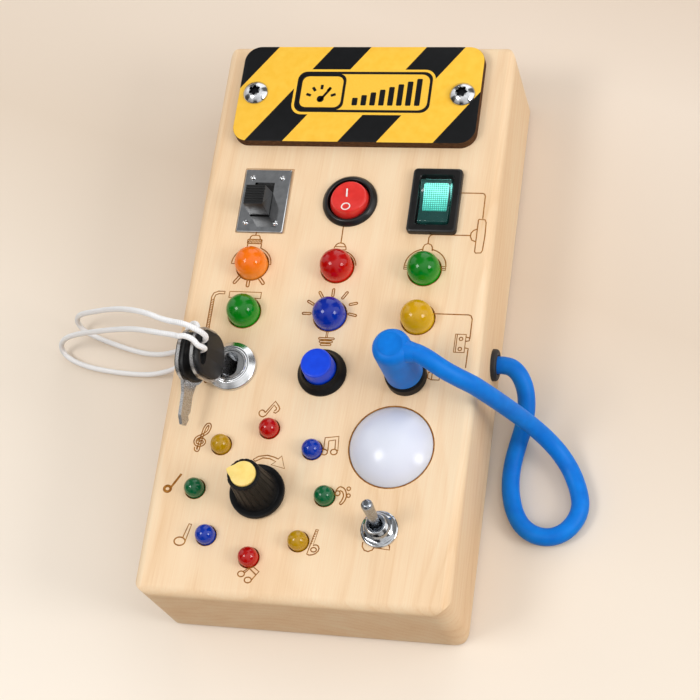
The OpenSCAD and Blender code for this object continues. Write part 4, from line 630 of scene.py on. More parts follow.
# the gauge's five marks, its hand and its hub; a mark is drawn at the origin and then set in its place
for x, y in oval(*pivot, 4.1, None, 160, 20, 16)[::4]:
    slab((0.9, 1.6), 0.2, paint_top, [(0, 0.11)], form=figures)
    spin = shift(x, y) @ Matrix.Rotation(math.atan2(pivot[0] - x, y - pivot[1]), 4, "Z")
    move(figures, spin, [v for v in figures.verts if abs(v.co.x) < 0.6 and abs(v.co.y) < 1.0])
slab((0.8, 5.6), 0.3, paint_top, [(0, 0.11)], form=figures)
move(figures, shift(-11.2, 68.8) @ Matrix.Rotation(-0.6, 4, "Z"),
     [v for v in figures.verts if abs(v.co.x) < 0.6 and abs(v.co.y) < 3])
slab((2.2, 2.2), 1.0, paint_top, [(0, 0.11)], at=pivot, form=figures)
piece("badge_figures", figures, inks[1], "board", slot="plate_paint")


# The two plate screws. Steel pan heads, 7.8 mm wide, plated bright, each with a six-lobed
# recess and a short shank that runs through the plate into the block.
def turned(profile, steps=48, place=None, form=None):
    """Adds a form turned about the upright axis from its profile of (radius, height, rounding if any)."""
    form = form or bmesh.new()
    old, outline = set(form.verts), []
    for i, p in enumerate(profile):
        here = Vector((p[0], 0, p[1]))
        if len(p) > 2 and 0 < i < len(profile) - 1:
            ways = [(Vector((q[0], 0, q[1])) - here).normalized() * p[2] for q in (profile[i - 1], profile[i + 1])]
            a, b = here + ways[0], here + ways[1]
            outline += [a * (1 - s) ** 2 + here * 2 * s * (1 - s) + b * s * s for s in (0, 0.2, 0.4, 0.6, 0.8, 1)]
        else:
            outline.append(here)
    line = [form.verts.new(p) for p in outline]
    edges = [form.edges.new(pair) for pair in zip(line, line[1:])]
    bmesh.ops.spin(form, geom=line + edges, cent=(0, 0, 0), axis=(0, 0, 1), angle=2 * math.pi, steps=steps,
                   use_merge=True)
    move(form, place or Matrix(), [v for v in form.verts if v not in old])
    return form


def arc(radius, z, start, end, steps=10):
    """Profile points on a circle about (0, z), between two angles from the level."""
    return oval(0, z, radius, None, start, end, steps)


def grown(form, edges, shape):
    """Grows a rim of edges into its next ring; shape gives each new corner's place from its old one."""
    made = bmesh.ops.extrude_edge_only(form, edges=edges)["geom"]
    for v in (g for g in made if isinstance(g, bmesh.types.BMVert)):
        v.co = shape(v.co)
    return [g for g in made if isinstance(g, bmesh.types.BMEdge)]


def lobed(v, z, wide):
    """A point on the rim of the six-lobed recess, which has six lobes 0.32 mm deep about a radius of 1.5 mm."""
    return Vector((*(v.xy.normalized() * wide * (1.5 + 0.32 * math.cos(6 * math.atan2(v.y, v.x)))), z))


heads = bmesh.new()
for x in (-33.1, 31.1):
    turned([(0, 37.2), (3.9, 37.2), (3.9, 37.55, 0.12)] + arc(5.0, 34.5, 40, 68, 8), 48, form=heads)
    rim = [e for e in heads.edges if e.is_boundary and e.verts[0].co.xy.length < 2.5 and e.verts[0].co.z > 38]
    for z, wide in ((39.2, 1.07), (39.1, 1.0), (37.9, 1.0)):
        rim = grown(heads, rim, lambda v: lobed(v, z, wide))
    bmesh.ops.contextual_create(heads, geom=rim)
    for face in heads.faces:
        # the recess takes the darker of the two finishes, its painted shade
        middle = face.calc_center_median()
        if middle.xy.length < 2 and 37.5 < middle.z < 39.05:
            face.material_index = 1
    stand = shift(x, 69.3)
    move(heads, stand @ Matrix.Rotation(0.3 * x, 4, "Z"), [v for v in heads.verts if v.co.xy.length < 4])
    turned([(0, 30.0), (1.5, 31), (1.5, 37.2), (0, 37.2)], 16, stand, heads)
# polished nickel plate: bright, with faint turning marks and small handling scuffs
nickel, t, place = finish_of("bright_nickel_plate")
scuff = add(t, "TexNoise", {"Vector": place, "Scale": 0.8, "Detail": 5, "Roughness": 0.7})
tone = add(t, "ValToRGB", [scuff], stops=[(0.3, "#bcbec1"), (0.7, "#dfe0e2")])
add(t, "OutputMaterial", [add(t, "BsdfPrincipled", {
    "Base Color": tone, "Metallic": 1.0, "Roughness": add(t, "MapRange", [scuff, 0.3, 0.7, 0.07, 0.2])})])
# the driver recess: the same plate painted a dark grey, painted shade because it sees only its own walls
recess = clouded("recess_painted_shade", 2.5, 2, "#26272a", "#3c3e42", 0.5, metal)
piece("plate_screw_heads", heads, [nickel, recess], "board", "name_plate_screws", slot="zinc_screw", sharp=38)


# The slide switch. A pressed and chromed plate on a black housing, held by two rivets at each
# end, and a black knob with a ribbed back that moves up the window.
def refit(form, face, at, size):
    """Moves a level face to another middle and gives it another size."""
    middle = face.calc_center_median()
    now = [max(v.co[i] for v in face.verts) - min(v.co[i] for v in face.verts) for i in (0, 1)]
    grow = Matrix.Diagonal((size[0] / now[0], size[1] / now[1], 1, 1))
    move(form, shift(*at, middle.z) @ grow @ Matrix.Translation(-middle), face.verts)


def drawn_across(outline, x, width):
    """A solid with an outline of (y, z) points, drawn from x across a width."""
    form = bmesh.new()
    side = form.faces.new([form.verts.new((x, y, z)) for y, z in outline])
    far = bmesh.ops.extrude_face_region(form, geom=[side])["geom"]
    bmesh.ops.translate(form, vec=(width, 0, 0), verts=[g for g in far if isinstance(g, bmesh.types.BMVert)])
    bmesh.ops.recalc_face_normals(form, faces=form.faces)
    return form


# chrome on pressed or turned brass: a mirror with a very slight haze
chrome = clouded("chromed_brass", 0.5, 4, "#c3c5c8", "#dadcdf", (0.05, 0.13), metal)
cover, window = slab((14.5, 21.0), 0.5, 33.35, [(0, 0.55), (0.1, 0.2), (0.2, 0.15), (3.4, 0)], at=(-25.7, 34.3),
                     closed=False)
refit(cover, window, (-26.3, 34.6), (6.1, 11.4))
raise_by(cover, window, -0.9)
bmesh.ops.delete(cover, geom=[window], context="FACES_ONLY")
bmesh.ops.bridge_loops(cover, edges=[e for e in cover.edges if e.is_boundary])
piece("slide_plate", cover, chrome, "board", "slide_switch_plate", slot="chrome_plate", sharp=20)
rivets = bmesh.new()
for x in (-30.3, -21.1):
    for y in (26.8, 41.8):
        outline = [(0, 34.9), (0.45, 34.85), (0.8, 34.55), (0.85, 34.25), (0.85, 33.3), (0, 33.3)]
        turned(outline, 20, shift(x, y), rivets)
piece("slide_rivets", rivets, chrome, "board", "slide_switch_rivets", slot="chrome_plate", sharp=50)
back = [(29.2, 34.3), (29.2, 42.05)]
for i in range(7):
    y = 29.85 + 0.82 * i
    back += [(y, 42.05), (y + 0.06, 41.7), (y + 0.34, 41.7), (y + 0.4, 42.05)]
back += [(35.5, 42.05), (37.0, 34.3)]
knob = drawn_across(back, -29.25, 5.9)
corners = [e for e in knob.edges if e.is_manifold and e.calc_face_angle(0) > 1.2 and e.calc_length() > 0.5]
bmesh.ops.bevel(knob, geom=corners, offset=0.12, affect="EDGES", segments=2, profile=0.5, material=-1)
slab((5.3, 14.0), 0.4, 32.2, [(0, 1.0)], at=(-26.2, 34.6), form=knob)
slab((3.4, 6.0), 0.4, 33.0, [(0, 1.6)], at=(-26.2, 33.1), form=knob)
piece("slide_knob_ribbed", knob, black_abs, "slide_knob", "slide_switch_knob", slot="black_abs", sharp=30)
dress(black_abs, "slide_switch_housing")


# The round rocker switch. A black bezel that snaps into its hole, and a glossy red rocker with
# a dished face that carries the marks I and O.

# polished ABS, moulded in a mirror mould: deep and glossy with an almost flat surface
polished_black = clouded("polished_black_abs", 0.4, 2, "#121112", "#1a1919", (0.24, 0.34), {"Specular IOR Level": 0.4})
# the same ABS from a blasted mould: an even, nearly matt black
matt_black, t, place = finish_of("matt_black_abs")
grit = add(t, "TexNoise", {"Vector": place, "Scale": 3.2, "Detail": 2})
tone = add(t, "TexNoise", {"Vector": place, "Scale": 0.3, "Detail": 2})
tone = add(t, "ValToRGB", [tone], stops=[(0.3, "#111112"), (0.7, "#19191a")])
add(t, "OutputMaterial", [add(t, "BsdfPrincipled", {
    "Base Color": tone, "Roughness": add(t, "MapRange", {0: grit, 3: 0.4, 4: 0.52}), "Specular IOR Level": 0.13,
    "Normal": add(t, "Bump", {"Strength": 0.2, "Distance": 0.00004, "Height": grit})})])
rocker_spot = (0.8, 34.6)
bezel = turned([(6.45, 32.2), (6.45, 35.6, 0.12), (6.75, 35.8, 0.15), (7.3, 35.7, 0.3), (8.25, 34.6, 0.3), (8.3, 34.0),
                (7.2, 34.0), (7.2, 24.0), (0, 24.0), (0, 30.0), (6.45, 30.0), (6.45, 32.2)], 64, shift(*rocker_spot))
piece("round_rocker_bezel", bezel, polished_black, "board", "round_switch_housing", slot="black_abs", sharp=30)

tilted = shift(*rocker_spot, 33.2) @ swing(-8, "X")
rocker = turned([(0, 3.0), (1.2, 3.0), (2.4, 3.0), (3.6, 3.0), (4.5, 3.0), (5.0, 3.02), (5.3, 2.9), (5.42, 2.7)]
                + arc(6.1, 0, 24, -20, 8) + [(0, -2.1)], 64)
# the rocker's face is hollow: it rises 0.55 mm towards either end
dish = 0.55 / 5.3 ** 2
for v in rocker.verts:
    if v.co.z > 2.6:
        v.co.z += dish * v.co.y ** 2
move(rocker, tilted)
# polished red ABS: glossy, slightly deeper where the wall is thick
red_abs = clouded("polished_red_abs", 0.3, 2, "#dd2a25", "#ea3a33", 0.24, {
    "IOR": 1.54, "Subsurface Weight": 0.15, "Subsurface Scale": 0.001, "Coat Weight": 0.2})
piece("round_rocker_red", rocker, red_abs, "round_rocker", "round_switch_rocker", slot="red_abs", sharp=40)
marks = bmesh.new()
slab((0.42, 2.7), 0.15, 2.98, [(0, 0.3)], at=(0, 2.5), form=marks)
turned([(1.05, 3.0), (1.05, 3.2), (1.4, 3.2), (1.4, 3.0), (1.05, 3.0)], 32, shift(0, -2.4), marks)
for v in marks.verts:
    v.co.z += dish * v.co.y ** 2 + 0.02
move(marks, tilted @ shift(-0.5, -1.1) @ swing(5, "Z"))
# white pad-printed ink: matt, a little uneven
ink = clouded("white_pad_print", 3.0, 2, "#eae6e2", "#fbf9f6", 0.55)
piece("round_rocker_marks", marks, ink, "round_rocker", slot="white_board", sharp=40)


# The rectangular rocker switch. A black frame, a clear teal rocker moulded in acrylic, and a
# white window with a fine grid under it, painted to glow: painted light that brightens the rocker from inside.
switch_spot = (26.6, 34.9)
rim_steps = [(0, 1.45), (0.12, 0.3), (0.28, 0.2), (0.45, 0.05), (1.35, 0), (0.15, -0.2), (0.1, -5.2)]
switch_frame = slab((14.8, 20.8), 1.3, face_height, rim_steps, at=switch_spot)[0]
slab((13.0, 19.2), 0.8, 22.0, [(0, 8.4)], at=switch_spot, form=switch_frame)
piece("rectangular_rocker_frame", switch_frame, polished_black, "board", "square_switch_housing",
      slot="black_abs", sharp=30)
raised = shift(*switch_spot, 33.2) @ swing(8, "X")
side_line = (arc(7.2, 0, -14, 26, 8) + [(3.2, 2.45), (0, 2.0), (-3.2, 2.45)]
             + [(-y, z) for y, z in arc(7.2, 0, 26, -14, 8)])
rocker = drawn_across(side_line, -4.6, 9.2)
bmesh.ops.bevel(rocker, geom=[e for e in rocker.edges if e.calc_face_angle(0) > 0.8], offset=0.35, affect="EDGES",
                segments=3, profile=0.5, material=-1)
move(rocker, raised)
# clear teal acrylic: a polished, tinted transparent moulding; the tint deepens with thickness
clear_teal = clouded("clear_teal_acrylic", 0.35, 2, "#5fcfc5", "#79ddd4", 0.04, {
    "IOR": 1.49, "Transmission Weight": 0.92})
piece("rectangular_rocker_teal", rocker, clear_teal, "square_rocker", "square_switch_rocker",
      slot="teal_clear", sharp=30)
insert = slab((7.2, 12.6), 0.5, -0.9, [(0, 2.0), (0.15, 0.1)], at=(0, -0.4))[0]
move(insert, raised)
# grid diffuser: white moulding with a raised grid every 0.6 mm; its glow, brightest at the upper end, is painted light
grid, t, place = finish_of("grid_diffuser_painted_glow")
places = add(t, "SeparateXYZ", [place], out=slice(2))
cells = [add(t, "Math", [add(t, "Math", [along, 0.62], operation="DIVIDE")], operation="FRACT") for along in places]
cells = [add(t, "Math", [cell, 0.76], operation="LESS_THAN") for cell in cells]
cell = add(t, "Math", cells, operation="MULTIPLY")
# painted light: the glow grows towards the upper end of the grid
rise = add(t, "MapRange", [places[1], 29.0, 38.0, 0.5, 1.0])
painted_glow = add(t, "Math", [rise, add(t, "MapRange", {0: cell, 3: 0.35, 4: 1.0})], operation="MULTIPLY")
tone = add(t, "ValToRGB", [painted_glow], stops=[(0.0, "#0b5a50"), (0.55, "#2fb8a6"), (1.0, "#d8fbf6")])
add(t, "OutputMaterial", [add(t, "BsdfPrincipled", {
    "Base Color": tone, "Roughness": 0.5, "Emission Color": tone,
    "Emission Strength": add(t, "Math", [painted_glow, 1.5], operation="MULTIPLY")})])
piece("rectangular_rocker_grid", insert, grid, "square_rocker", "square_switch_insert", slot="grid_light", sharp=30)


# The six large lamps. Diffused 10 mm LEDs cast in coloured epoxy, pushed through holes in the
# face from behind and soldered to one board that stands on posts.
lens_profile = [(0, 27.6), (5.4, 27.6), (5.4, 28.4), (4.75, 28.5), (4.75, 34.6)] + arc(4.75, 36.0, 0, 90, 14)
lenses = {}
for tint, deep, bright in (
        ("orange", "#f57409", "#ff9c38"), ("red", "#b30302", "#df1810"), ("green", "#027610", "#10a020"),
        ("blue", "#04279a", "#1244c8"), ("yellow", "#cf9d03", "#e8bf22"), ("small_green", "#03532c", "#0b6e40"),
        ("small_blue", "#032a98", "#0a3cb4"), ("small_red", "#a80604", "#c40e08"),
        ("small_yellow", "#b08403", "#c4970c")):
    # diffused epoxy: dyed through, cloudy inside, cast against a polished mould; its colour is painted paler towards
    # the base, painted light gathering in the epoxy
    lenses[tint], t, place = finish_of("diffused_epoxy_" + tint)
    # painted light: the lens is paler low down and deeper at its top
    rise = add(t, "MapRange", [add(t, "SeparateXYZ", [place], out=2), 34.0, 39.5, 1.0, 0.0])
    cloud = add(t, "TexNoise", {"Vector": place, "Scale": 0.5, "Detail": 2})
    mixed = add(t, "Math", [cloud, 0.06], operation="MULTIPLY")
    mixed = add(t, "Math", [rise, 0.94, mixed], operation="MULTIPLY_ADD")
    rough, gloss, coat = (0.07, 0.4, 0.18) if tint.startswith("small") else (0.09, 0.34, 0.14)
    add(t, "OutputMaterial", [add(t, "BsdfPrincipled", {
        "Base Color": add(t, "ValToRGB", [mixed], stops=[(0.05, deep), (0.95, bright)]), "Roughness": rough,
        "Specular IOR Level": gloss, "Coat Weight": coat, "Coat Roughness": 0.03})])
# a lamp's two legs stand this far to either side of its middle
leg = 1.27
for name, (x, y) in lamp_spots.items():
    tint = name.split("_")[0]
    lens = turned(lens_profile, 48, shift(x, y))
    for side in (-leg, leg):
        slab((0.6, 0.6), 0.1, 22.6, [(0, 5.2)], at=(x + side, y), form=lens)
    piece("lamp_" + name + "_lens", lens, lenses[tint], "board", "lamp_" + name, slot="lens_" + tint, sharp=40)
# glass-fibre board with green solder mask: deep green, glossy, with paler tracks every 2.5 mm
circuit, t, place = finish_of("solder_mask_board")
track = add(t, "Math", [add(t, "SeparateXYZ", [place], out=1), 2.54], operation="DIVIDE")
track = add(t, "Math", [add(t, "Math", [track], operation="FRACT"), 0.3], operation="LESS_THAN")
speck = add(t, "TexNoise", {"Vector": place, "Scale": 2.0})
mask = add(t, "ValToRGB", [speck], stops=[(0.3, "#12522b"), (0.7, "#176034")])
tone = add(t, "Mix", {0: track, 6: mask, 7: linear("#2c7f48")}, out=2, data_type="RGBA")
add(t, "OutputMaterial", [add(t, "BsdfPrincipled", {"Base Color": tone, "Roughness": 0.3})])
dress(circuit, "lamp_board", "dome_lamp_board", "dial_board")


# The cam lock. A turned and chromed barrel with a wide conical flange, a nut behind the face,
# and a core with its keyway.
barrel = turned([(4.25, 36.1), (4.35, 36.45, 0.08), (4.75, 36.45, 0.08), (5.0, 36.1), (5.25, 36.0, 0.06),
                 (5.45, 36.3, 0.1), (5.75, 36.2, 0.1), (7.35, 35.1, 0.15), (7.55, 34.75, 0.12), (7.55, 34.0),
                 (6.0, 34.0), (6.0, 18.5), (4.25, 18.5), (4.25, 36.1)], 96, shift(lock_x, lock_y))
# chrome over fine turning marks: they run round the barrel, so each lamp draws out into a bright fan
turned_chrome, t, place = finish_of("turned_chrome")
place = add(t, "Mapping", {"Vector": place, "Location": (-lock_x, -lock_y, 0)})
far = add(t, "VectorMath", [place, (1, 1, 0)], operation="MULTIPLY")
far = add(t, "VectorMath", [far], out=1, operation="LENGTH")
mark = add(t, "TexNoise", {"W": add(t, "Math", [far, 3.0], operation="MULTIPLY"), "Scale": 1.0, "Detail": 3},
           noise_dimensions="1D")
round_it = add(t, "VectorMath", [(0, 0, 1), place], operation="CROSS_PRODUCT")
add(t, "OutputMaterial", [add(t, "BsdfPrincipled", {
    "Base Color": add(t, "ValToRGB", [mark], stops=[(0.3, "#d2d4d7"), (0.7, "#f2f3f4")]), "Metallic": 1.0,
    "Roughness": 0.2, "Anisotropic": 0.6, "Tangent": add(t, "VectorMath", [round_it], operation="NORMALIZE")})])
piece("lock_barrel_turned", barrel, turned_chrome, "board", "lock_barrel", slot="nickel", sharp=25)
dress(turned_chrome, "lock_core")
dress(nickel, "lock_nut")


# The two keys. Blanks stamped from nickel silver, each with a black moulded cover over its head
# and a slot for the cord; one stands in the lock, the spare hangs beside it.

# stamped nickel silver: warm grey, brushed along the blade with lines about 0.2 mm apart
stamped, t, place = finish_of("stamped_nickel_silver")
brush = add(t, "Mapping", {"Vector": place, "Rotation": (0.2, -0.3, 0.0), "Scale": (4.0, 4.0, 0.3)})
brush = add(t, "TexNoise", {"Vector": brush, "Scale": 1.0, "Detail": 3})
add(t, "OutputMaterial", [add(t, "BsdfPrincipled", {
    "Base Color": add(t, "ValToRGB", [brush], stops=[(0.3, "#9d9c9c"), (0.7, "#c3c2c2")]), "Metallic": 1.0,
    "Roughness": add(t, "MapRange", {0: brush, 3: 0.2, 4: 0.36})})])
dress(stamped, "key_blade", "spare_key_blade")
# each cover is drawn flat, mirrored to its other face, then stood up and set on its blade
upright = Matrix(((0, 0, 1, 0), (1, 0, 0, 0), (0, 1, 0, 0), (0, 0, 0, 1)))
for name, spot, turn in (("key_grip", (-26.8, -19.2, 31.5), (6, -16, 0)),
                         ("spare_key_grip", (-36.15, -35.4, 41.2), (-81, -13.5, -3))):
    cover, slot = slab((13.4, 13.8), 5.2, 0.0, [(0, 1.15), (0.1, 0.22), (0.22, 0.13), (2.2, 0)], at=(0, 14.7),
                       closed=False, round_by=8)
    refit(cover, slot, (0, 18.5), (8.0, 3.0))
    raise_by(cover, slot, -0.2)
    raise_by(cover, slot, -1.3)
    bmesh.ops.delete(cover, geom=[slot], context="FACES_ONLY")
    bmesh.ops.mirror(cover, geom=cover.verts[:] + cover.edges[:] + cover.faces[:], axis="Z", merge_dist=0.001)
    move(cover, shift(*spot) @ Euler([math.radians(a) for a in turn]).to_matrix().to_4x4() @ upright)
    piece(name + "_cover", cover, black_abs, "keys", name, slot="key_black", sharp=30)


# The push button. A black dished bezel with its nut behind the face, and a blue cap on a spring.
# The cap slides in the bezel.
button_x, button_y = 0.3, -20.2
button = shift(button_x, button_y)
housing = turned([(4.95, 34.4), (4.95, 37.4, 0.1), (5.15, 37.55, 0.1), (5.45, 37.4, 0.15), (6.1, 36.0, 0.4),
                  (7.15, 34.8, 0.2), (7.15, 34.0), (6.0, 34.0), (6.0, 17.0), (2.0, 17.0), (2.0, 19.0), (5.5, 19.0),
                  (5.5, 34.4), (4.95, 34.4)], 64, button)
piece("button_bezel", housing, matt_black, "board", "button_housing", slot="black_abs", sharp=30)
cap = turned([(0, 26.0), (5.3, 26.0), (5.3, 27.6), (4.8, 27.8), (4.8, 37.0, 0.5), (4.45, 41.95, 0.45),
              (3.6, 42.05, 0.4), (0, 42.05)], 64, button)
# blue ABS: saturated, moulded satin with a faint texture
blue_abs = clouded("satin_blue_abs", 0.4, 2, "#0240dc", "#0a4aea", 0.34, {"Specular IOR Level": 0.4},
                   (0.15, 0.00003, 3.5, 2))
piece("button_cap_blue", cap, blue_abs, "button", "button_cap", slot="blue_button", sharp=40)
dress(nickel, "button_nut")
low, high = (1000 * Vector(corner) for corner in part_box("button_spring"))
wire, winding, turns, steps, travel = 0.32, 2.9, 6, 144, 2.5
height = high.z - low.z - 2 * wire
coil = []
for k in range(steps + 1):
    a = math.tau * turns * k / steps
    # one flat turn at each end, the others spread over the height between them
    climb = min(max((a / math.tau - 1) / (turns - 2), 0), 1)
    z = low.z + wire + height * climb
    coil.append(Vector((button_x + winding * math.cos(a), button_y + winding * math.sin(a), z)))
spring = piece("button_coil_spring", tube(bmesh.new(), coil, wire, 10), contact, "board", "button_spring",
               slot="contact_steel", sharp=60)
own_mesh(spring)


# The socket, the plug and its cable. A black collar in the face, an angled plug moulded on the
# end of a blue PVC cable, and a grommet where the cable goes back into the right side.
socket_x, socket_y = 25, -20.1
socket = shift(socket_x, socket_y)
collar = turned([(3.0, 22.0), (3.0, 37.2), (3.4, 37.6, 0.2), (5.4, 37.6, 0.15), (5.9, 37.0, 0.3), (5.9, 34.0),
                 (5.0, 34.0), (5.0, 22.0), (3.0, 22.0)], 64, socket)
piece("socket_collar", collar, matt_black, "board", "socket_body", slot="black_abs", sharp=30)
dress(nickel, "socket_nut")
# soft PVC: saturated blue, satin, with a slight drag along its length
soft_pvc = clouded("soft_blue_pvc", 0.22, 3, "#0270d4", "#0680e4", (0.38, 0.48), {
    "Specular IOR Level": 0.18, "Subsurface Weight": 0.1, "Subsurface Scale": 0.001}, (0.2, 0.00005, 1.6, 2))
lean = math.radians(8)
arm_way = Vector((math.cos(lean), -math.sin(lean), 0))
# the head: a round body with a domed top, whose arm flows into the cable without a step
plug = turned([(0, 37.65), (4.8, 37.65), (5.4, 37.9, 0.2), (5.5, 57.6, 3.2), (2.4, 57.6, 1.0), (0, 57.62)], 64, socket)
root = Vector((socket_x, socket_y, 54.12))
arm = ((0.5, 3.5), (2.0, 3.45), (3.0, 3.36), (4.0, 3.22), (4.8, 3.06), (5.6, 2.9), (6.3, 2.74), (6.7, 2.64))
tube(plug, [root + arm_way * s for s, r in arm], [r for s, r in arm], 40)
piece("plug_moulding", plug, soft_pvc, "plug", "plug_body", slot="blue_pvc", sharp=45)
tip = turned([(0, 26.65), (0.9, 26.65), (1.5, 27.6, 0.2), (1.15, 28.4), (1.75, 29.4, 0.2), (1.75, 32.2), (1.55, 32.3),
              (1.55, 32.7), (1.75, 32.8), (1.75, 37.65), (0, 37.65)], 32, socket)
# turned brass: warm, with fine rings left by the tool
brass, t, place = finish_of("turned_brass")
ring = add(t, "TexWave", {"Vector": place, "Scale": 1.2, "Distortion": 0.2}, out=1, bands_direction="Z")
add(t, "OutputMaterial", [add(t, "BsdfPrincipled", {
    "Base Color": add(t, "ValToRGB", [ring], stops=[(0.0, "#c9a35a"), (1.0, "#dfbf7c")]), "Metallic": 1.0,
    "Roughness": 0.2})])
piece("plug_tip_brass", tip, brass, "plug", "plug_tip", slot="brass_tip", sharp=40)
cable_line = route([
    (30.149, -20.824, 54.12), (32.031, -21.088, 54.12), (34.8, -22.15, 53.27), (37.4, -23.3, 51.62),
    (40.0, -24.2, 49.4), (43.2, -24.9, 46.5), (46.61, -25.3, 42.43), (50.07, -25.62, 35.99), (53.3, -25.5, 27.81),
    (56.41, -25.54, 19.89), (59.62, -26.31, 13.57), (62.91, -28.01, 8.78), (65.91, -30.47, 5.53),
    (68.73, -33.97, 3.38), (70.75, -37.75, 2.85), (72.2, -41.6, 2.8), (72.8, -45.4, 2.8), (71.8, -49.4, 2.8),
    (69, -53, 2.8), (65, -54.8, 2.8), (60.6, -54.4, 2.8), (56.8, -52, 2.8), (54.2, -48, 2.8), (52.6, -43, 2.8),
    (52, -38, 2.8), (52.2, -33, 2.9), (53, -28, 3.2), (54.2, -22.8, 4.4), (55, -17.6, 6.8), (54.6, -13, 9.6),
    (53, -9.6, 12), (50.8, -7.7, 13.2), (48.4, -7.1, 13.4), (45.8, -7.1, 13.4)])
cable = piece("blue_cable", tube(bmesh.new(), cable_line, 2.6, 24), soft_pvc, None, "plug_cable", slot="blue_pvc",
              sharp=80)
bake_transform(cable)
# black rubber: matt, with a dusty bloom
rubber = clouded("black_rubber", 1.4, 4, "#17171a", "#252528", 0.6)
grommet = turned([(2.9, 0.6), (2.9, 1.45), (3.05, 1.6, 0.08), (4.25, 1.6, 0.2), (4.7, 1.2, 0.3), (4.7, 0.0), (3.6, 0.0),
                  (3.6, -7.0), (2.9, -7.0), (2.9, 0.6)], 48, shift(45, -7.1, 13.4) @ swing(90, "Y"))
piece("cable_grommet_ring", grommet, rubber, "board", "cable_grommet", slot="black_rubber", sharp=30)


# The dome lamp. A thin opal shell that snaps in from behind, with its own small lamp board.
# The shell's top is a shallow cap of a sphere over a short straight wall.
dome = turned([(0, 29.0), (13.2, 29.0), (13.2, 29.45), (11.85, 29.45), (11.85, 33.6)]
              + arc(15.34, 24.26, 39.4, 90, 24), 96, shift(*dome_spot))
# opal polycarbonate: milky and slightly blue, glossy, with painted light that makes it brighter towards the middle and
# greyer towards its rim
opal, t, place = finish_of("opal_polycarbonate")
rise = add(t, "MapRange", [add(t, "SeparateXYZ", [place], out=2), 33.5, 40.0])
haze_and_painted_glow = add(t, "Math", [add(t, "TexNoise", {"Vector": place, "Scale": 0.15}), 0.1], operation="MULTIPLY")
haze_and_painted_glow = add(t, "Math", [rise, 0.9, haze_and_painted_glow], operation="MULTIPLY_ADD")
tone = add(t, "ValToRGB", [haze_and_painted_glow], stops=[(0.0, "#d5d6dd"), (0.5, "#e0e3f1"), (1.0, "#e8ecf9")])
add(t, "OutputMaterial", [add(t, "BsdfPrincipled", {
    "Base Color": tone, "Roughness": 0.22, "Specular IOR Level": 0.5, "IOR": 1.5, "Subsurface Weight": 0.3,
    "Subsurface Radius": (1, 1, 1), "Subsurface Scale": 0.002})])
piece("opal_dome", dome, opal, "board", "dome_lamp", slot="opal", sharp=40)


# The toggle switch. A nickel-plated bushing through the face with its washer and hexagon nut,
# and a round lever with a ball end that tilts in it.
def hoop(form, sides, radius, z):
    """Adds a level circle and gives its edges."""
    ring = bmesh.ops.create_circle(form, segments=sides, radius=radius, matrix=shift(0, 0, z))["verts"]
    return list({e for v in ring for e in v.link_edges})


toggle_spot = (23.2, -65.4)
hub = shift(*toggle_spot)
thread = [(r, 38.85 - 0.25 * i) for i, r in enumerate([2.78, 3.0] * 8)]
body = turned([(1.9, 34.0), (1.9, 38.9), (2.5, 39.4, 0.1), (2.8, 39.4, 0.15), (3.0, 39.1)] + thread
              + [(3.0, 34.9), (3.0, 29.6), (0, 29.6), (0, 33.2), (1.9, 34.0)], 40, hub)
slab((8.0, 13.2), 0.5, 20.0, [(0, 9.3), (0.2, 0.2)], at=toggle_spot, form=body)
piece("toggle_bushing", body, nickel, "board", "toggle_housing", slot="nickel", sharp=30)


def nut_point(v, top):
    """A corner of the nut's outline: a hexagon 8 mm across flats, its points cut to a circle, bevelled at the top."""
    part = (math.atan2(v.y, v.x) + 0.35) % (math.pi / 3) - math.pi / 6
    r = min(4.0 / math.cos(part), 4.4)
    return Vector((*(v.xy.normalized() * r), 36.75 - 0.75 * (r - 3.75) if top else 34.85))


def ring_point(v, r, z):
    """A corner moved to a circle."""
    return Vector((*(v.xy.normalized() * r), z))


hardware = bmesh.new()
rim = hoop(hardware, 96, 3.1, 34.85)
for shape in (lambda v: nut_point(v, False), lambda v: nut_point(v, True), lambda v: ring_point(v, 3.75, 36.8),
              lambda v: ring_point(v, 3.1, 36.8), lambda v: ring_point(v, 3.1, 34.85)):
    rim = grown(hardware, rim, shape)
turned([(3.1, 34.0), (3.1, 34.8), (4.9, 34.8, 0.1), (5.3, 34.55, 0.1), (5.3, 34.0), (3.1, 34.0)], 64, form=hardware)
move(hardware, hub)
piece("toggle_washer_and_nut", hardware, chrome, "board", "toggle_nut", slot="nickel", sharp=16)
ball = arc(1.75, 0, -60, 50, 8)
stem = [(1.2, 1.6, 0.3), (1.3, 4.0), (1.65, 12.3), (1.65, 13.4, 0.5), (0.95, 14.1, 0.3), (0, 14.15)]
lever = turned([(0, -2.6), (1.0, -2.6), (1.1, -1.6)] + ball + stem, 40)
move(lever, shift(*toggle_spot, 36.2) @ swing(-9, "X") @ swing(-2.4, "Y"))
# the lever's plating is barrelled, greyer and duller than the nut's
dull_nickel = clouded("barrelled_nickel", 1.1, 4, "#8d939b", "#a7acb3", (0.2, 0.32), metal)
piece("toggle_lever_polished", lever, dull_nickel, "toggle", "toggle_lever", slot="nickel", sharp=35)


# The rotary switch and its pointer knob. A black skirted knob with eighteen grooves, pressed on
# the shaft, and a yellow cap with a pointer wedge that snaps into its top.
centre = shift(-12.9, -57.0)
knob = bmesh.new()
rim = hoop(knob, 216, 7.4, 34.5)
bmesh.ops.contextual_create(knob, geom=rim)


def ribbed(v, r, z, depth):
    """A point on the knob's side, drawn in where a groove runs: they come every 20 degrees, 6.8 degrees wide."""
    off = abs((math.degrees(math.atan2(v.y, v.x)) + 4 + 10) % 20 - 10) / 3.4
    r -= 0.6 * depth * max(0.0, 1 - off * off) ** 0.5 if off < 1 else 0.0
    return Vector((*(v.xy.normalized() * r), z))


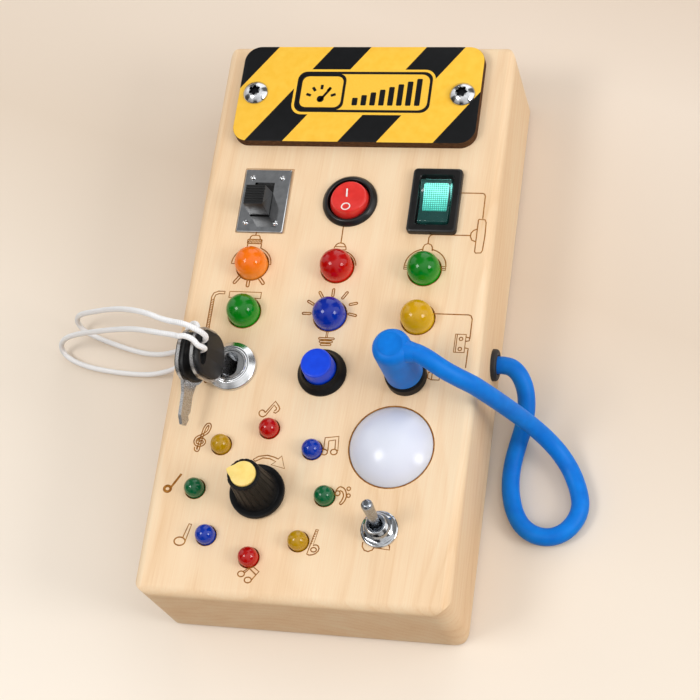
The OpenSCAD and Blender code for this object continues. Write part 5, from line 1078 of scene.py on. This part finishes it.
for r, z, depth in (
        (7.8, 34.55, 0), (7.9, 34.8, 0), (7.9, 35.8, 0), (7.8, 36.05, 0), (7.55, 36.15, 0), (6.9, 35.95, 0),
        (6.45, 35.9, 0), (6.25, 36.1, 0), (6.15, 36.8, 0.02), (5.9, 37.3, 0.3), (5.74, 38.2, 0.42),
        (5.36, 41.3, 0.42), (5.02, 45.0, 0.42), (4.76, 48.2, 0.4), (4.68, 49.3, 0.36), (4.58, 49.6, 0.24),
        (4.4, 49.75, 0.08), (4.2, 49.8, 0), (3.74, 49.8, 0), (3.7, 49.7, 0), (3.7, 48.4, 0)):
    rim = grown(knob, rim, lambda v: ribbed(v, r, z, depth))
bmesh.ops.contextual_create(knob, geom=rim)
move(knob, centre)
piece("pointer_knob_black", knob, matt_black, "knob", "knob_body", slot="black_abs", sharp=40)
cap = bmesh.new()
rim = hoop(cap, 96, 3.62, 48.5)
bmesh.ops.contextual_create(cap, geom=rim)


def beaked(v, r, z):
    """A point on the cap's rim, drawn out to the beak that points along +X."""
    turn = math.degrees(math.atan2(v.y, v.x))
    return Vector((*(v.xy.normalized() * (r + 1.45 * max(0.0, 1 - abs(turn) / 34) ** 1.5)), z))


rim = grown(cap, rim, lambda v: Vector((v.x, v.y, 49.82)))
for r, z in ((3.62, 49.84), (3.62, 50.3), (3.54, 50.48), (3.38, 50.56)):
    rim = grown(cap, rim, lambda v: beaked(v, r, z))
bmesh.ops.contextual_create(cap, geom=rim)
move(cap, centre @ swing(168, "Z"))
# pale yellow ABS: warm and satin, a little uneven
yellow_abs = clouded("satin_yellow_abs", 0.5, 3, "#f6d473", "#fcdf88", (0.34, 0.46), {
    "Subsurface Weight": 0.15, "Subsurface Scale": 0.001})
piece("pointer_knob_cap", cap, yellow_abs, "knob", "knob_cap", slot="yellow_abs", sharp=30)
dress(black_abs, "rotary_housing")
dress(nickel, "rotary_nut", "rotary_shaft")


# The ring of eight small lamps round the knob, two of each colour, on the round dial board.
# They are 5 mm LEDs, cast in darker shades of the same epoxy as the large ones.
small_profile = [(0, 28.6), (3.3, 28.6), (3.3, 29.4), (2.8, 29.45), (2.8, 34.6)] + arc(2.8, 35.3, 0, 90, 12)
for first, colour in enumerate(("green", "blue", "red", "yellow")):
    lens = bmesh.new()
    for x, y in (ring_spots[first], ring_spots[first + 4]):
        turned(small_profile, 32, shift(x, y), lens)
        for side in (-leg, leg):
            slab((0.5, 0.5), 0.1, 19.0, [(0, 9.8)], at=(x + side, y), form=lens)
    piece("small_lamps_" + colour, lens, lenses["small_" + colour], "board", "ring_lamps_" + colour,
          slot="lens_" + colour, sharp=40)
